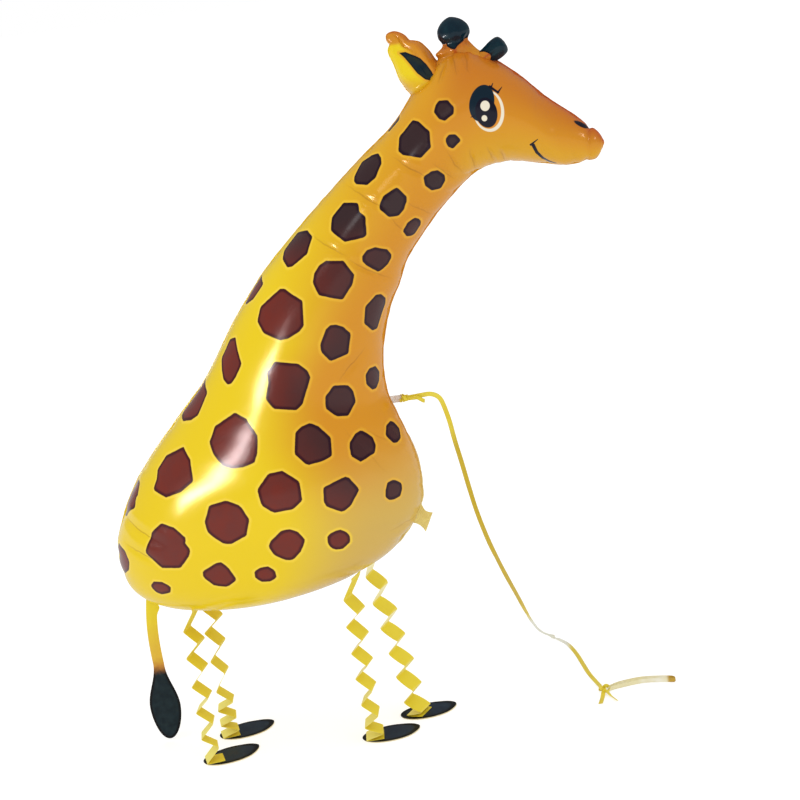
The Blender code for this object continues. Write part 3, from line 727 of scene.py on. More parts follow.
class Loft:
    """Inflated film through a table of ribs: its points, and where each lies in the print."""

    def __init__(self, ribs, rings, sides, dense=((0,), (1,))):
        padded = np.array([turned(ribs[1]), *ribs, turned(ribs[-2])])
        fine_at = np.linspace(0, len(ribs) - 1, FINE_STEPS * (len(ribs) - 1) + 1)
        fine = smooth_rows(padded, fine_at)
        moves = np.diff(fine, axis=0)
        steps = np.maximum(np.hypot(moves[:, 0], moves[:, 1]), np.hypot(moves[:, 2], moves[:, 3]))
        close = np.interp(fine_at[1:], dense[0], dense[1])
        run = np.concatenate([[0], np.cumsum(steps * close)])
        at = np.interp(np.linspace(0, run[-1], rings + 1), run, fine_at)
        rows = smooth_rows(padded, at)
        rows[0], rows[-1] = padded[1], padded[-2]
        angle = 2 * np.pi * np.arange(sides) / sides
        middle = (rows[:, 0:2] + rows[:, 2:4]) / 2
        half = (rows[:, 2:4] - rows[:, 0:2]) / 2
        size = np.hypot(half[:, 0], half[:, 1])
        swell = np.sign(np.sin(angle)) * np.abs(np.sin(angle)) ** SEAM_PINCH
        self.points = np.empty((rings + 1, sides, 3))
        for axis, column in ((0, 0), (2, 1)):
            self.points[..., axis] = middle[:, None, column] + half[:, None, column] * np.cos(angle)
        self.points[..., 1] = (size * rows[:, 4])[:, None] * swell
        self.points *= SHARE
        self.points[..., 2] += OUTLINE_BASE
        flank = self.points[:, : sides // 2 + 1]
        steps = np.linalg.norm(np.diff(flank, axis=1), axis=2)
        down = np.concatenate([np.zeros((rings + 1, 1)), np.cumsum(steps, axis=1)], axis=1)
        fold = np.minimum(np.arange(sides), sides - np.arange(sides))
        self.from_front = down[:, fold]
        self.from_back = down[:, -1:] - self.from_front
        self.ahead = np.broadcast_to(np.cos(angle), (rings + 1, sides))
        across = half / np.maximum(size, 1e-6)[:, None]
        offset = (self.from_back - self.from_front) / 2 / SHARE
        self.print_place = middle[:, None] + across[:, None] * offset[..., None]
        self.along_front = run_of(self.points[:, 0])
        self.along_back = run_of(self.points[:, sides // 2])
        self.near = np.broadcast_to(np.sin(angle) < 0, (rings + 1, sides))

    def outward_directions(self):
        """Directions out of the surface at each point."""
        down = np.gradient(self.points, axis=0)
        around = np.roll(self.points, -1, axis=1) - np.roll(self.points, 1, axis=1)
        out = np.cross(around, down)
        return out / np.maximum(np.linalg.norm(out, axis=2, keepdims=True), 1e-9)

    def push(self, heights):
        """Moves the points out by the given heights, and leaves the ends closed."""
        heights = heights.copy()
        heights[0] = heights[-1] = 0
        self.points = self.points + self.outward_directions() * heights[..., None]


def lively(points):
    """How much the film puckers at each point."""
    found = np.full(points.shape[:-1], LIVELY_BASE)
    for x, z, reach in LIVELY:
        away = np.hypot(points[..., 0] - x, points[..., 2] - z)
        found += LIVELY_MORE * hill(away, 0, reach)
    return found


def puckers(loft, waves):
    """Furrows that run into the film from both seams, as depths below the smooth surface."""
    depth = np.zeros(loft.points.shape[:2])
    for seam, (run, away) in enumerate(
        ((loft.along_front, loft.from_front), (loft.along_back, loft.from_back))
    ):
        for flank in (0, 1):
            for turn, (length, deep, reach) in enumerate(waves):
                seed = 100 * seam + 50 * flank + 10 * turn
                start = np.broadcast_to(run[:, None], away.shape)
                bend = ripple(start, 3.1 * length, seed + 1) * away * 0.45
                furrow = (1 - np.abs(ripple(start + bend, length, seed))) ** 2.2 - 0.35
                stretch = reach * (0.55 + 0.9 * np.abs(ripple(start, 1.7 * length, seed + 2)))
                fade = hill(away, 0, stretch) * (0.25 + 0.75 * ease(away, 0, 0.004))
                side = loft.near if flank == 0 else ~loft.near
                depth += np.where(side, deep * furrow * fade, 0)
    return depth * lively(loft.points)


def creases(loft):
    """The long creases: depths below the smooth surface, and each point's place beside the nearest.

    The place is the distance across the crease, less than zero on one side of it, and how strong
    the crease is there.
    """
    shape = loft.points.shape[:2]
    depth, beside, strength = np.zeros(shape), np.ones(shape), np.zeros(shape)
    place = loft.points[..., [0, 2]]
    for flank, x1, z1, x2, z2, deep, width in CREASES:
        start, way = np.array((x1, z1)), np.array((x2 - x1, z2 - z1))
        from_start = place - start
        share = (from_start @ way) / (way @ way)
        across = (from_start[..., 0] * way[1] - from_start[..., 1] * way[0]) / np.hypot(*way)
        away = np.hypot(across, (share - np.clip(share, 0, 1)) * np.hypot(*way))
        width = max(width * CREASE_WIDTH, CREASE_NARROWEST)
        line = hill(away, 0, width) - CREASE_BANKS * hill(away, 2.1 * width, width)
        fade = np.sin(np.pi * np.clip(0.08 + 0.84 * share, 0.02, 1)).clip(0)
        if flank:
            fade = fade * (loft.near if flank < 0 else ~loft.near)
        depth += CREASE_DEPTH * deep * line * fade
        here = fade * (away < CREASE_REACH) * min(1.0, deep / CREASE_FULL)
        beside = np.where(here > strength, across, beside)
        strength = np.maximum(strength, here)
    return depth, beside, strength


def outline_distance(places, corners):
    """Distance from each place to the line through the corners, less than zero inside it."""
    corners = np.array(corners)
    nearest = np.full(len(places), 1e9)
    inside = np.zeros(len(places), bool)
    for a, b in zip(corners, np.roll(corners, -1, axis=0)):
        way = b - a
        share = np.clip(((places - a) @ way) / (way @ way), 0, 1)
        nearest = np.minimum(nearest, np.linalg.norm(places - a - share[:, None] * way, axis=1))
        crosses = (a[1] > places[:, 1]) != (b[1] > places[:, 1])
        rise = np.where(abs(way[1]) < 1e-12, 1e-12, way[1])
        inside ^= crosses & (places[:, 0] < a[0] + (places[:, 1] - a[1]) * way[0] / rise)
    return np.where(inside, -nearest, nearest)


def spot_distance(loft):
    """Distance in metres from each point to the nearest printed spot, less than zero inside."""
    places = loft.print_place.reshape(-1, 2)
    nearest = np.full(len(places), SPOT_FAR)
    for spot in SPOTS:
        corners = np.reshape(spot, (-1, 2))
        middle = corners.mean(axis=0)
        reach = np.linalg.norm(corners - middle, axis=1).mean()
        corners = middle + (corners - middle) * (1 - SPOT_ROUND / reach)
        low, high = corners.min(axis=0) - SPOT_MARGIN, corners.max(axis=0) + SPOT_MARGIN
        close = np.flatnonzero(((places > low) & (places < high)).all(axis=1))
        away = outline_distance(places[close], corners) - SPOT_ROUND
        nearest[close] = np.minimum(nearest[close], away)
    return nearest.reshape(loft.points.shape[:2]) * SHARE


class Nodes:
    """Short ways to build a tree of shader nodes."""

    def __init__(self, tree):
        self.tree = tree

    def add(self, kind, feeds=(), **settings):
        """A node with its settings, its sockets fed with values or links."""
        made = self.tree.nodes.new(kind)
        for name, value in settings.items():
            setattr(made, name, value)
        for name, value in dict(feeds).items():
            self.feed(made.inputs[name], value)
        return made

    def feed(self, socket, value):
        """Links an output to a socket, or sets its value."""
        if isinstance(value, bpy.types.NodeSocket):
            self.tree.links.new(value, socket)
        else:
            socket.default_value = value

    def math(self, operation, *values, clamp=False):
        """A Math node's result."""
        feeds = dict(enumerate(values))
        return self.add("ShaderNodeMath", feeds, operation=operation, use_clamp=clamp).outputs[0]

    def times(self, first, second):
        """Two numbers multiplied."""
        return self.math("MULTIPLY", first, second)

    def minus(self, first, second):
        """The second number taken from the first."""
        return self.math("SUBTRACT", first, second)

    def fused(self, first, second, base):
        """Two numbers multiplied, and a third added."""
        return self.math("MULTIPLY_ADD", first, second, base)

    def vector(self, operation, *values, result=0):
        """A Vector Math node's result."""
        made = self.add("ShaderNodeVectorMath", dict(enumerate(values)), operation=operation)
        return made.outputs[result]

    def mix(self, share, first, second, blend="MIX"):
        """Two colours mixed."""
        feeds = {0: share, 6: first, 7: second}
        return self.add("ShaderNodeMix", feeds, data_type="RGBA", blend_type=blend).outputs[2]

    def spread(self, value, low, high, first=0.0, last=1.0):
        """A value taken smoothly from one range to another, and held at its ends."""
        feeds = {0: value, 1: low, 2: high, 3: first, 4: last}
        return self.add("ShaderNodeMapRange", feeds, interpolation_type="SMOOTHSTEP").outputs[0]

    def layer(self, name):
        """A number that the mesh holds for each point."""
        return self.add("ShaderNodeAttribute", attribute_name=name).outputs["Fac"]

    def place(self):
        """The point in the object's own coordinates."""
        return self.add("ShaderNodeTexCoord").outputs["Object"]

    def axes(self, place):
        """The place's X, Y and Z."""
        return self.add("ShaderNodeSeparateXYZ", {0: place}).outputs

    def noise(self, place, scale, detail=2.0, rough=0.5):
        """Noise between 0 and 1."""
        feeds = {"Vector": place, "Scale": scale, "Detail": detail, "Roughness": rough}
        return self.add("ShaderNodeTexNoise", feeds).outputs["Fac"]

    def wobble(self, place, scale, detail=1.0):
        """Noise about zero."""
        return self.minus(self.noise(place, scale, detail), 0.5)

    def use(self, group, **feeds):
        """The outputs of a node group placed in this tree, with its values."""
        made = self.add("ShaderNodeGroup", node_tree=group)
        for name, value in feeds.items():
            self.feed(made.inputs[name.replace("_", " ")], value)
        return made.outputs


class Finish(Nodes):
    """A material with its Principled shader and its nodes."""

    def __init__(self, name, **values):
        self.material = bpy.data.materials.new(name)
        self.material.use_nodes = True
        super().__init__(self.material.node_tree)
        self.shader = self.tree.nodes["Principled BSDF"].inputs
        for label, value in values.items():
            self.shader[label.replace("_", " ")].default_value = value

    def done(self, colour, height, strength, distance, **feeds):
        """The material, its shader fed with a colour, a bump and what else is given."""
        bump = {"Height": height, "Strength": strength, "Distance": distance}
        self.feed(self.shader["Base Color"], colour)
        self.feed(self.shader["Normal"], self.add("ShaderNodeBump", bump).outputs[0])
        for label, value in feeds.items():
            self.feed(self.shader[label], value)
        return self.material


NUMBER, PLACE, COLOUR = "NodeSocketFloat", "NodeSocketVector", "NodeSocketColor"


def node_group(name, numbers, others, outputs, build):
    """A shader node group, built once and shared by the materials.

    It takes numbers with their defaults, and other inputs with their kinds.
    """
    if name in bpy.data.node_groups:
        return bpy.data.node_groups[name]
    tree = bpy.data.node_groups.new(name, "ShaderNodeTree")
    inputs = {**others, **dict.fromkeys(numbers, NUMBER)}
    for way, sockets in (("INPUT", inputs), ("OUTPUT", outputs)):
        for label, kind in sockets.items():
            socket = tree.interface.new_socket(label, in_out=way, socket_type=kind)
            if label in numbers:
                socket.default_value = numbers[label]
    nodes = Nodes(tree)
    start = nodes.add("NodeGroupInput").outputs
    end = nodes.add("NodeGroupOutput").inputs
    for label, value in build(nodes, start).items():
        nodes.feed(end[label], value)
    return tree


def film_crinkle():
    """Small dents and stretch marks of thin film, with a slight change of gloss."""

    def build(nodes, start):
        place = start["Place"]
        warp = nodes.noise(place, 26.0, 1.0)
        bent = nodes.vector("ADD", place, warp)
        broad = nodes.noise(bent, start["Broad"], 2.0, 0.45)
        fine = nodes.noise(place, start["Fine"])
        ridge = nodes.spread(nodes.math("ABSOLUTE", nodes.wobble(bent, 34.0)), 0.0, 0.16)
        height = nodes.fused(ridge, 0.22, nodes.fused(fine, 0.12, nodes.times(broad, 0.8)))
        gloss = nodes.fused(nodes.minus(broad, 0.5), 0.10, start["Gloss"])
        return {"Height": height, "Roughness": gloss}

    numbers = {"Broad": 45.0, "Fine": 210.0, "Gloss": 0.28}
    outputs = {"Height": NUMBER, "Roughness": NUMBER}
    return node_group("film_crinkle", numbers, {"Place": PLACE}, outputs, build)


def oval_mark():
    """A printed oval on a flank, its top leaning to the nose: 1 inside, 0 outside."""

    def build(nodes, start):
        place = nodes.axes(start["Place"])
        x, z = nodes.minus(place["X"], start["Across"]), nodes.minus(place["Z"], start["Up"])
        cosine, sine = nodes.math("COSINE", start["Lean"]), nodes.math("SINE", start["Lean"])
        up = nodes.fused(z, cosine, nodes.times(x, sine))
        over = nodes.minus(nodes.times(x, cosine), nodes.times(z, sine))
        up = nodes.math("POWER", nodes.math("DIVIDE", up, start["Half Length"]), 2.0)
        over = nodes.math("POWER", nodes.math("DIVIDE", over, start["Half Width"]), 2.0)
        reach = nodes.math("SQRT", nodes.math("ADD", up, over))
        away = nodes.times(nodes.minus(reach, 1.0), start["Half Width"])
        return {"Mask": nodes.spread(away, *FACE_EDGE)}

    numbers = {"Across": 0.0, "Up": 0.0, "Half Length": 0.01, "Half Width": 0.01, "Lean": 0.0}
    return node_group("oval_mark", numbers, {"Place": PLACE}, {"Mask": NUMBER}, build)


def stroke_mark():
    """A printed stroke on a flank, from one end to the other: 1 inside, 0 outside."""

    def build(nodes, start):
        flat = nodes.vector("MULTIPLY", start["Place"], (1.0, 0.0, 1.0))
        from_start = nodes.vector("SUBTRACT", flat, start["From"])
        way = nodes.vector("SUBTRACT", start["To"], start["From"])
        done = nodes.vector("DOT_PRODUCT", from_start, way, result=1)
        whole = nodes.vector("DOT_PRODUCT", way, way, result=1)
        share = nodes.math("DIVIDE", done, whole, clamp=True)
        nearest = nodes.vector("MULTIPLY", way, share)
        away = nodes.vector("LENGTH", nodes.vector("SUBTRACT", from_start, nearest), result=1)
        width = nodes.fused(nodes.minus(start["End"], start["Start"]), share, start["Start"])
        return {"Mask": nodes.spread(nodes.minus(away, width), *FACE_EDGE)}

    numbers, places = {"Start": 0.001, "End": 0.001}, dict.fromkeys(("Place", "From", "To"), PLACE)
    return node_group("stroke_mark", numbers, places, {"Mask": NUMBER}, build)


def ground_print_and_painted_light():
    """The film's ground: printed yellow to orange and deep brown at the brow, deep brown as painted
    shade in the horns' pleats, and tan under the chest as a painted reflection of the floor.
    """

    def build(nodes, start):
        colour = nodes.mix(start["Warm"], start["Yellow"], start["Orange"])
        colour = nodes.mix(start["Deep"], colour, INKS["brow"])
        return {"Colour": nodes.mix(start["Tan"], colour, INKS["chest"])}

    numbers, inks = {"Warm": 0.0, "Deep": 0.0, "Tan": 0.0}, {"Yellow": COLOUR, "Orange": COLOUR}
    return node_group("ground_print_and_painted_light", numbers, inks, {"Colour": COLOUR}, build)


def paper_grain():
    """Height of the fibre of coloured paper or card."""

    def build(nodes, start):
        stretched = nodes.vector("MULTIPLY", start["Place"], (1.0, 1.0, 0.45))
        return {"Height": nodes.noise(stretched, start["Scale"], 3.0, 0.6)}

    numbers, outputs = {"Scale": 900.0}, {"Height": NUMBER}
    return node_group("paper_grain", numbers, {"Place": PLACE}, outputs, build)


def film_nodes(name, look, warm="warm", deep="deep", tan=0.0):
    """A printed film's nodes: with them its place, its ground and the height of its dents.

    How warm, deep and tan its ground is are numbers, or the names of the mesh's layers.
    """
    nodes = Finish(name, **FILM_FINISH)
    place = nodes.place()
    sources = {"Warm": warm, "Deep": deep, "Tan": tan}
    for label, source in sources.items():
        sources[label] = nodes.layer(source) if isinstance(source, str) else source
    ground = nodes.use(ground_print_and_painted_light(), Yellow=look.yellow, Orange=look.orange, **sources)
    crinkle = nodes.use(film_crinkle(), Place=place, Gloss=look.roughness)
    nodes.feed(nodes.shader["Roughness"], crinkle["Roughness"])
    return nodes, place, ground[0], crinkle["Height"]


def body_film(look):
    """Printed film of the body: ground, spots with their rims and halos, the face, and a painted
    shade line along each crease.
    """
    nodes, place, colour, height = film_nodes("printed_film", look, tan="tan")
    away = nodes.fused(nodes.wobble(place, 150.0), 0.0008, nodes.layer("spot"))
    warm = nodes.layer("warm")
    faint = nodes.spread(nodes.layer("deep"), 0.0, 0.5, 0.85, 0.35)
    faint = nodes.times(faint, nodes.spread(warm, 0.0, 1.0, 1.0, 0.6))
    halo = nodes.times(nodes.spread(away, *HALO_BAND), faint)
    colour = nodes.mix(halo, colour, nodes.mix(warm, look.halo, INKS["warm halo"]))
    mottle = nodes.spread(nodes.noise(place, 55.0, 3.0), 0.3, 0.7)
    brown = nodes.mix(mottle, look.spot, INKS["spot mottle"])
    high = nodes.spread(nodes.axes(place)["Z"], *DARK_SPOTS_FROM)
    dark = nodes.math("MAXIMUM", nodes.times(warm, 0.85), high)
    brown = nodes.mix(dark, brown, look.spot_dark)
    rim = nodes.times(nodes.spread(away, *RIM_BAND), 0.9)
    brown = nodes.mix(rim, brown, nodes.mix(dark, look.spot_rim, INKS["dark rim"]))
    colour = nodes.mix(nodes.spread(away, *SPOT_EDGE), colour, brown)
    for across, up, length, width, lean, shade in FACE_OVALS:
        mark = nodes.use(
            oval_mark(), Place=place, Across=across, Up=up, Half_Length=length, Half_Width=width,
            Lean=math.radians(lean),
        )
        colour = nodes.mix(mark[0], colour, INKS[shade])
    for x1, z1, x2, z2, wide, end in FACE_STROKES:
        ends = {"From": (x1, 0, z1), "To": (x2, 0, z2)}
        mark = nodes.use(stroke_mark(), Place=place, Start=wide, End=end, **ends)
        colour = nodes.mix(mark[0], colour, INKS["pupil"])
    # Painted shade: a darker line along each crease, kept off the spots; the same mask dents the
    # surface
    beside = nodes.fused(nodes.wobble(place, 70.0), 0.004, nodes.layer("beside"))
    crease = nodes.spread(nodes.math("ABSOLUTE", beside), 0.0012, 0.0002)
    crease = nodes.times(crease, nodes.layer("crease"))
    line = nodes.times(crease, nodes.spread(away, -0.0002, 0.0008, 0.0, 0.38))
    colour = nodes.mix(line, colour, INKS["crease"])
    colour = nodes.mix(1.0, colour, BODY_TINT, "MULTIPLY")
    return nodes.done(colour, nodes.fused(crease, -3.0, height), look.crinkle, FILM_DENTS)


def ear_film(look):
    """Printed film of the ear: orange roll along its top, yellow shell, dark lining."""
    nodes, place, colour, height = film_nodes("ear_film", look)
    away = nodes.layer("lining")
    colour = nodes.mix(nodes.spread(away, 0.003, 0.0012, 0.0, 0.5), colour, INKS["lining halo"])
    mottle = nodes.spread(nodes.noise(place, 90.0), 0.35, 0.7)
    dark = nodes.mix(mottle, INKS["lining"], INKS["lining mottle"])
    dark = nodes.mix(nodes.spread(away, -0.002, -0.0006), dark, INKS["lining rim"])
    colour = nodes.mix(nodes.spread(away, *SPOT_EDGE), colour, dark)
    return nodes.done(colour, height, look.crinkle, FILM_DENTS)


def horn_film(look):
    """Printed film of the horns: orange stalk with painted shade in its pleats, dark blue-green
    knob.
    """
    nodes, place, colour, height = film_nodes("horn_film", look, warm=1.0)
    away = nodes.layer("knob")
    mottle = nodes.spread(nodes.noise(place, 80.0), 0.3, 0.75)
    dark = nodes.mix(mottle, INKS["knob"], INKS["knob mottle"])
    dark = nodes.mix(nodes.spread(away, 0.0030, 0.0008), dark, INKS["knob rim"])
    colour = nodes.mix(nodes.spread(away, -0.0003, 0.0003), colour, dark)
    return nodes.done(colour, height, look.crinkle, FILM_DENTS)


def tab_film(look):
    """Unprinted tan film of the filler tab."""
    nodes = Finish("tab_film", **FILM_FINISH)
    crinkle = nodes.use(film_crinkle(), Place=nodes.place(), Gloss=look.roughness, Broad=110.0)
    cloud = nodes.spread(crinkle["Height"], 0.3, 0.75)
    colour = nodes.mix(cloud, INKS["tab"], INKS["tab cloud"])
    return nodes.done(colour, crinkle["Height"], 0.6, 0.001, Roughness=crinkle["Roughness"])


def seam_film(look):
    """Welded edge of the film, pressed into fine ridges, slightly browner than the print, and paler
    under the chest as a painted reflection of the floor.
    """
    nodes, place, colour, _ = film_nodes("seam_film", look, tan="tan")
    ridges = nodes.noise(nodes.vector("MULTIPLY", place, (1.0, 0.2, 1.0)), 520.0, 1.0)
    colour = nodes.mix(nodes.spread(ridges, 0.35, 0.7, 0.0, 0.12), colour, INKS["worn seam"])
    # Paler where the body is tan: painted reflection of the floor
    colour = nodes.mix(nodes.times(nodes.layer("tan"), 0.8), colour, INKS["pale seam"])
    return nodes.done(colour, ridges, 0.2, 0.0006)


def strip_paper(look):
    """Yellow paper of the folded strips, paler and rubbed along the folds, with pale paper on the
    faces that catch the light as a painted highlight, yellower towards the floor.
    """
    nodes = Finish("strip_paper", Roughness=0.62, Specular_IOR_Level=0.35)
    place = nodes.place()
    grain = nodes.use(paper_grain(), Place=place)["Height"]
    fold = nodes.layer("fold")
    # Painted highlight: pale paper on the faces marked lit, yellower towards the floor
    low = nodes.spread(nodes.axes(place)["Z"], 0.12, 0.03)
    pale = nodes.mix(low, look.paper_painted_lit, INKS["low paper"])
    colour = nodes.mix(nodes.spread(nodes.layer("painted_lit_faces"), 0.4, 0.6), look.paper, pale)
    colour = nodes.mix(nodes.spread(fold, 0.0022, 0.0004, 0.0, 0.45), colour, INKS["fold"])
    crush = nodes.times(nodes.spread(fold, 0.0012, 0.0002), nodes.noise(place, 700.0))
    colour = nodes.mix(nodes.spread(crush, 0.45, 0.75, 0.0, 0.4), colour, INKS["crushed fold"])
    return nodes.done(colour, grain, 0.35, PAPER_DENTS)


def tail_paper(look):
    """The tail's strip: yellow, browner towards the drop, the drop dark slate with a black rim."""
    nodes = Finish("tail_paper", Roughness=0.5, Specular_IOR_Level=0.2)
    place = nodes.place()
    grain = nodes.use(paper_grain(), Place=place)["Height"]
    rise = nodes.fused(nodes.wobble(place, 260.0, 2.0), 0.006, nodes.layer("rise"))
    colour = nodes.mix(nodes.spread(rise, 0.160, 0.095), look.paper, INKS["tail"])
    colour = nodes.mix(nodes.spread(rise, 0.099, 0.083), colour, INKS["tail brown"])
    colour = nodes.mix(nodes.spread(rise, 0.088, 0.078), colour, INKS["tail dark brown"])
    mottle = nodes.spread(nodes.noise(place, 120.0), 0.3, 0.7)
    slate = nodes.mix(mottle, INKS["drop"], INKS["drop mottle"])
    slate = nodes.mix(nodes.spread(nodes.layer("edge"), 0.0034, 0.0022), slate, INKS["drop rim"])
    colour = nodes.mix(nodes.spread(rise, 0.082, 0.075), colour, slate)
    return nodes.done(colour, grain, 0.25, PAPER_DENTS)


def hoof_card(look):
    """Dark slate card with a black printed rim."""
    nodes = Finish("hoof_card", Specular_IOR_Level=0.2)
    place = nodes.place()
    grain = nodes.use(paper_grain(), Place=place, Scale=CARD_GRAIN)["Height"]
    cloud = nodes.spread(nodes.noise(place, 130.0, 3.0), 0.3, 0.7)
    colour = nodes.mix(cloud, look.slate, INKS["hoof cloud"])
    scuff = nodes.spread(nodes.noise(place, 380.0), 0.62, 0.74, 0.0, 0.25)
    colour = nodes.mix(scuff, colour, INKS["scuff"])
    colour = nodes.mix(nodes.spread(nodes.layer("rim"), 0.78, 0.84), colour, INKS["hoof rim"])
    gloss = nodes.spread(cloud, 0.0, 1.0, 0.42, 0.52)
    return nodes.done(colour, grain, 0.2, PAPER_DENTS, Roughness=gloss)


def backing_card():
    """Pale cream back of the hoof's card."""
    nodes = Finish("backing_card", Roughness=0.6)
    grain = nodes.use(paper_grain(), Place=nodes.place(), Scale=CARD_GRAIN)["Height"]
    return nodes.done(INKS["backing"], grain, 0.2, PAPER_DENTS)


def ribbon_film(name, strong, pale, patches):
    """Glossy ribbon with fine grooves along it, in pale patches of the given fineness, with painted
    shade where it hangs and a painted highlight where it lies by the knot.
    """
    nodes = Finish(name, Roughness=0.3, Coat_Weight=0.25, Coat_Roughness=0.12, IOR=1.48)
    place = nodes.place()
    across = nodes.layer("across")
    streak = {"X": nodes.times(across, 30.0), "Y": nodes.layer("along")}
    groove = nodes.noise(nodes.add("ShaderNodeCombineXYZ", streak).outputs[0], 1.0)
    colour = nodes.mix(nodes.spread(nodes.noise(place, patches), 0.42, 0.62), strong, pale)
    border = nodes.spread(nodes.math("ABSOLUTE", across), 0.80, 0.98, 0.0, 0.4)
    colour = nodes.mix(border, colour, strong)
    at = nodes.axes(place)
    # Painted shade: deeper yellow where the ribbon hangs
    hanging_shade = nodes.times(nodes.spread(at["Z"], 0.335, 0.30), nodes.spread(at["Z"], 0.04, 0.08))
    colour = nodes.mix(nodes.times(hanging_shade, 0.85), colour, INKS["ribbon hanging shade"])
    # Painted highlight: near white where the ribbon lies on the floor before the knot
    floor_sheen = nodes.times(nodes.spread(at["Z"], 0.05, 0.03), nodes.spread(at["X"], 0.176, 0.166))
    colour = nodes.mix(floor_sheen, colour, INKS["ribbon floor sheen"])
    colour = nodes.mix(nodes.spread(at["X"], 0.286, 0.290), colour, INKS["loop tip"])
    return nodes.done(colour, groove, 0.5, 0.0004)


def clear_film():
    """Pale, slightly milky film of the leash's tab."""
    nodes = Finish("clear_tab_film", Coat_Weight=0.3, Coat_Roughness=0.1)
    crinkle = nodes.use(film_crinkle(), Place=nodes.place(), Gloss=0.3, Broad=260.0)
    height = crinkle["Height"]
    colour = nodes.mix(nodes.spread(height, 0.35, 0.75), INKS["film tab"], INKS["film tab cloud"])
    feeds = {"Roughness": crinkle["Roughness"], "Alpha": nodes.spread(height, 0.3, 0.8, 0.62, 0.85)}
    return nodes.done(colour, height, 0.6, 0.0006, **feeds)


def floor_finish(shade):
    """Matt white floor, lit from below, that throws less light up than it shows to the camera."""
    nodes = Finish("studio_floor", Roughness=0.9, Specular_IOR_Level=0.0, Emission_Strength=0.60)
    ray = nodes.add("ShaderNodeLightPath").outputs
    glow = nodes.mix(ray["Is Camera Ray"], FLOOR_GLOW["matt"], FLOOR_GLOW["camera"])
    glow = nodes.mix(ray["Is Glossy Ray"], glow, FLOOR_GLOW["gloss"])
    nodes.feed(nodes.shader["Emission Color"], glow)
    nodes.feed(nodes.shader["Base Color"], shade)
    return nodes.material


# Where the print turns from yellow to orange: height, then how far ahead it starts and ends
PRINT_TURN = (
    (0.20, 0.60, 1.60),
    (0.30, 0.05, 0.75),
    (0.35, -0.22, 0.50),
    (0.40, -0.40, 0.42),
    (0.45, -0.40, 0.62),
    (0.50, -0.85, 0.70),
    (0.55, -1.40, 0.72),
    (0.60, -2.30, 0.50),
    (0.66, -3.00, 0.00),
)
BODY_RINGS, BODY_SIDES = 440, 224
# Ribs, and how much closer the rings lie from there on
BODY_DENSE = ((0, 9, 13, 20, 23, 28), (1.0, 1.0, 1.6, 1.8, 3.0, 3.4))
EAR_RINGS, EAR_SIDES = 96, 96
# Waves of the puckers along the seams: length, depth and reach into the film
BODY_WAVES = ((0.026, 0.0020, 0.036), (0.0105, 0.0011, 0.013))
EAR_WAVES = ((0.011, 0.0004, 0.006),)
# The ear's roll, the groove under it and its hollow: place from the lower edge (-1) to the upper
# one (1), reach, height
EAR_FOLDS = ((0.74, 0.16, 0.0016), (0.46, 0.10, -0.0022), (-0.10, 0.42, -0.0016))


def print_colours(loft):
    """How warm, deep and tan the body's colour is at each point: print, a little deeper along both
    seams, and tan under the chest as a painted reflection of the floor.
    """
    x, z = loft.points[..., 0], loft.points[..., 2]
    heights, *ends = zip(*PRINT_TURN)
    low, high = (np.interp(z, heights, end) for end in ends)
    warm = ease((loft.ahead - low) / (high - low))
    head = ease(x, 0.115, 0.165) * ease(z, 0.55, 0.61)
    deep = head * (0.62 * ease(-loft.ahead, -0.35, 0.8) + 0.55 * np.exp(-loft.from_back / 0.009))
    warm = warm * (1 - 0.30 * head * ease(loft.ahead, 0.0, 0.9))
    edge = 0.10 * np.exp(-np.minimum(loft.from_back, loft.from_front) / 0.005)
    # Tan: painted reflection of the pale floor on the lower chest and belly
    tan = ease(loft.ahead, 0.12, 0.80) * ease(-z, -0.36, -0.24)
    return warm, np.clip(deep + edge, 0, 1), tan


def body_loft(depth):
    """The body's points with the film's puckers and creases."""
    loft = Loft(BODY_RIBS, BODY_RINGS, BODY_SIDES, BODY_DENSE)
    fine = puckers(loft, BODY_WAVES)
    long, loft.beside, loft.crease = creases(loft)
    loft.push(-depth * (fine + long))
    return loft


def make_body(look):
    """Body, neck and head: one inflated bag of printed film."""
    loft = body_loft(look.wrinkles)
    body, ring, side = shaped_sphere("foil_body", loft.points)
    warm, deep, tan = print_colours(loft)
    for name, values in (
        ("spot", spot_distance(loft)), ("warm", warm), ("deep", deep), ("tan", tan),
        ("beside", loft.beside), ("crease", loft.crease),
    ):
        write_layer(body, name, values[ring, side])
    return settled(body, body_film(look), FOIL, "foil_envelope")


def ear_loft():
    """The ear's points: a roll along its upper edge, a hollow below it."""
    loft = Loft(EAR_RIBS, EAR_RINGS, EAR_SIDES)
    share = np.linspace(0, 1, EAR_RINGS + 1)[:, None]
    open_part = ease(share, 0.12, 0.35) * ease(-share, -0.97, -0.80)
    folds = sum(hill(loft.ahead, at, reach) * height for at, reach, height in EAR_FOLDS)
    loft.push(open_part * folds - puckers(loft, EAR_WAVES))
    return loft


def ear_colours(loft):
    """How warm and deep the print is at each point of the ear."""
    z = loft.points[..., 2]
    warm = np.maximum(ease(loft.ahead, 0.10, 0.50), ease(z, 0.7270, 0.7310))
    warm = np.maximum(warm, ease(-z, -0.700, -0.686) * 0.55)
    warm = np.maximum(warm, ease(loft.points[..., 0], 0.118, 0.130) * 0.9)
    deep = 0.45 * ease(loft.ahead, 0.50, 0.85) + 0.25 * ease(z, 0.728, 0.738)
    return warm, np.clip(deep, 0, 1)


def make_ear(look):
    """The ear: a small bag of film with a dark lining printed on both faces."""
    loft = ear_loft()
    ear, ring, side = shaped_sphere("foil_ear", loft.points)
    warm, deep = ear_colours(loft)
    lining = outline_distance(loft.points[..., [0, 2]].reshape(-1, 2), EAR_LINING)
    for name, values in (("lining", lining.reshape(warm.shape)), ("warm", warm), ("deep", deep)):
        write_layer(ear, name, values[ring, side])
    return settled(ear, ear_film(look), FOIL)


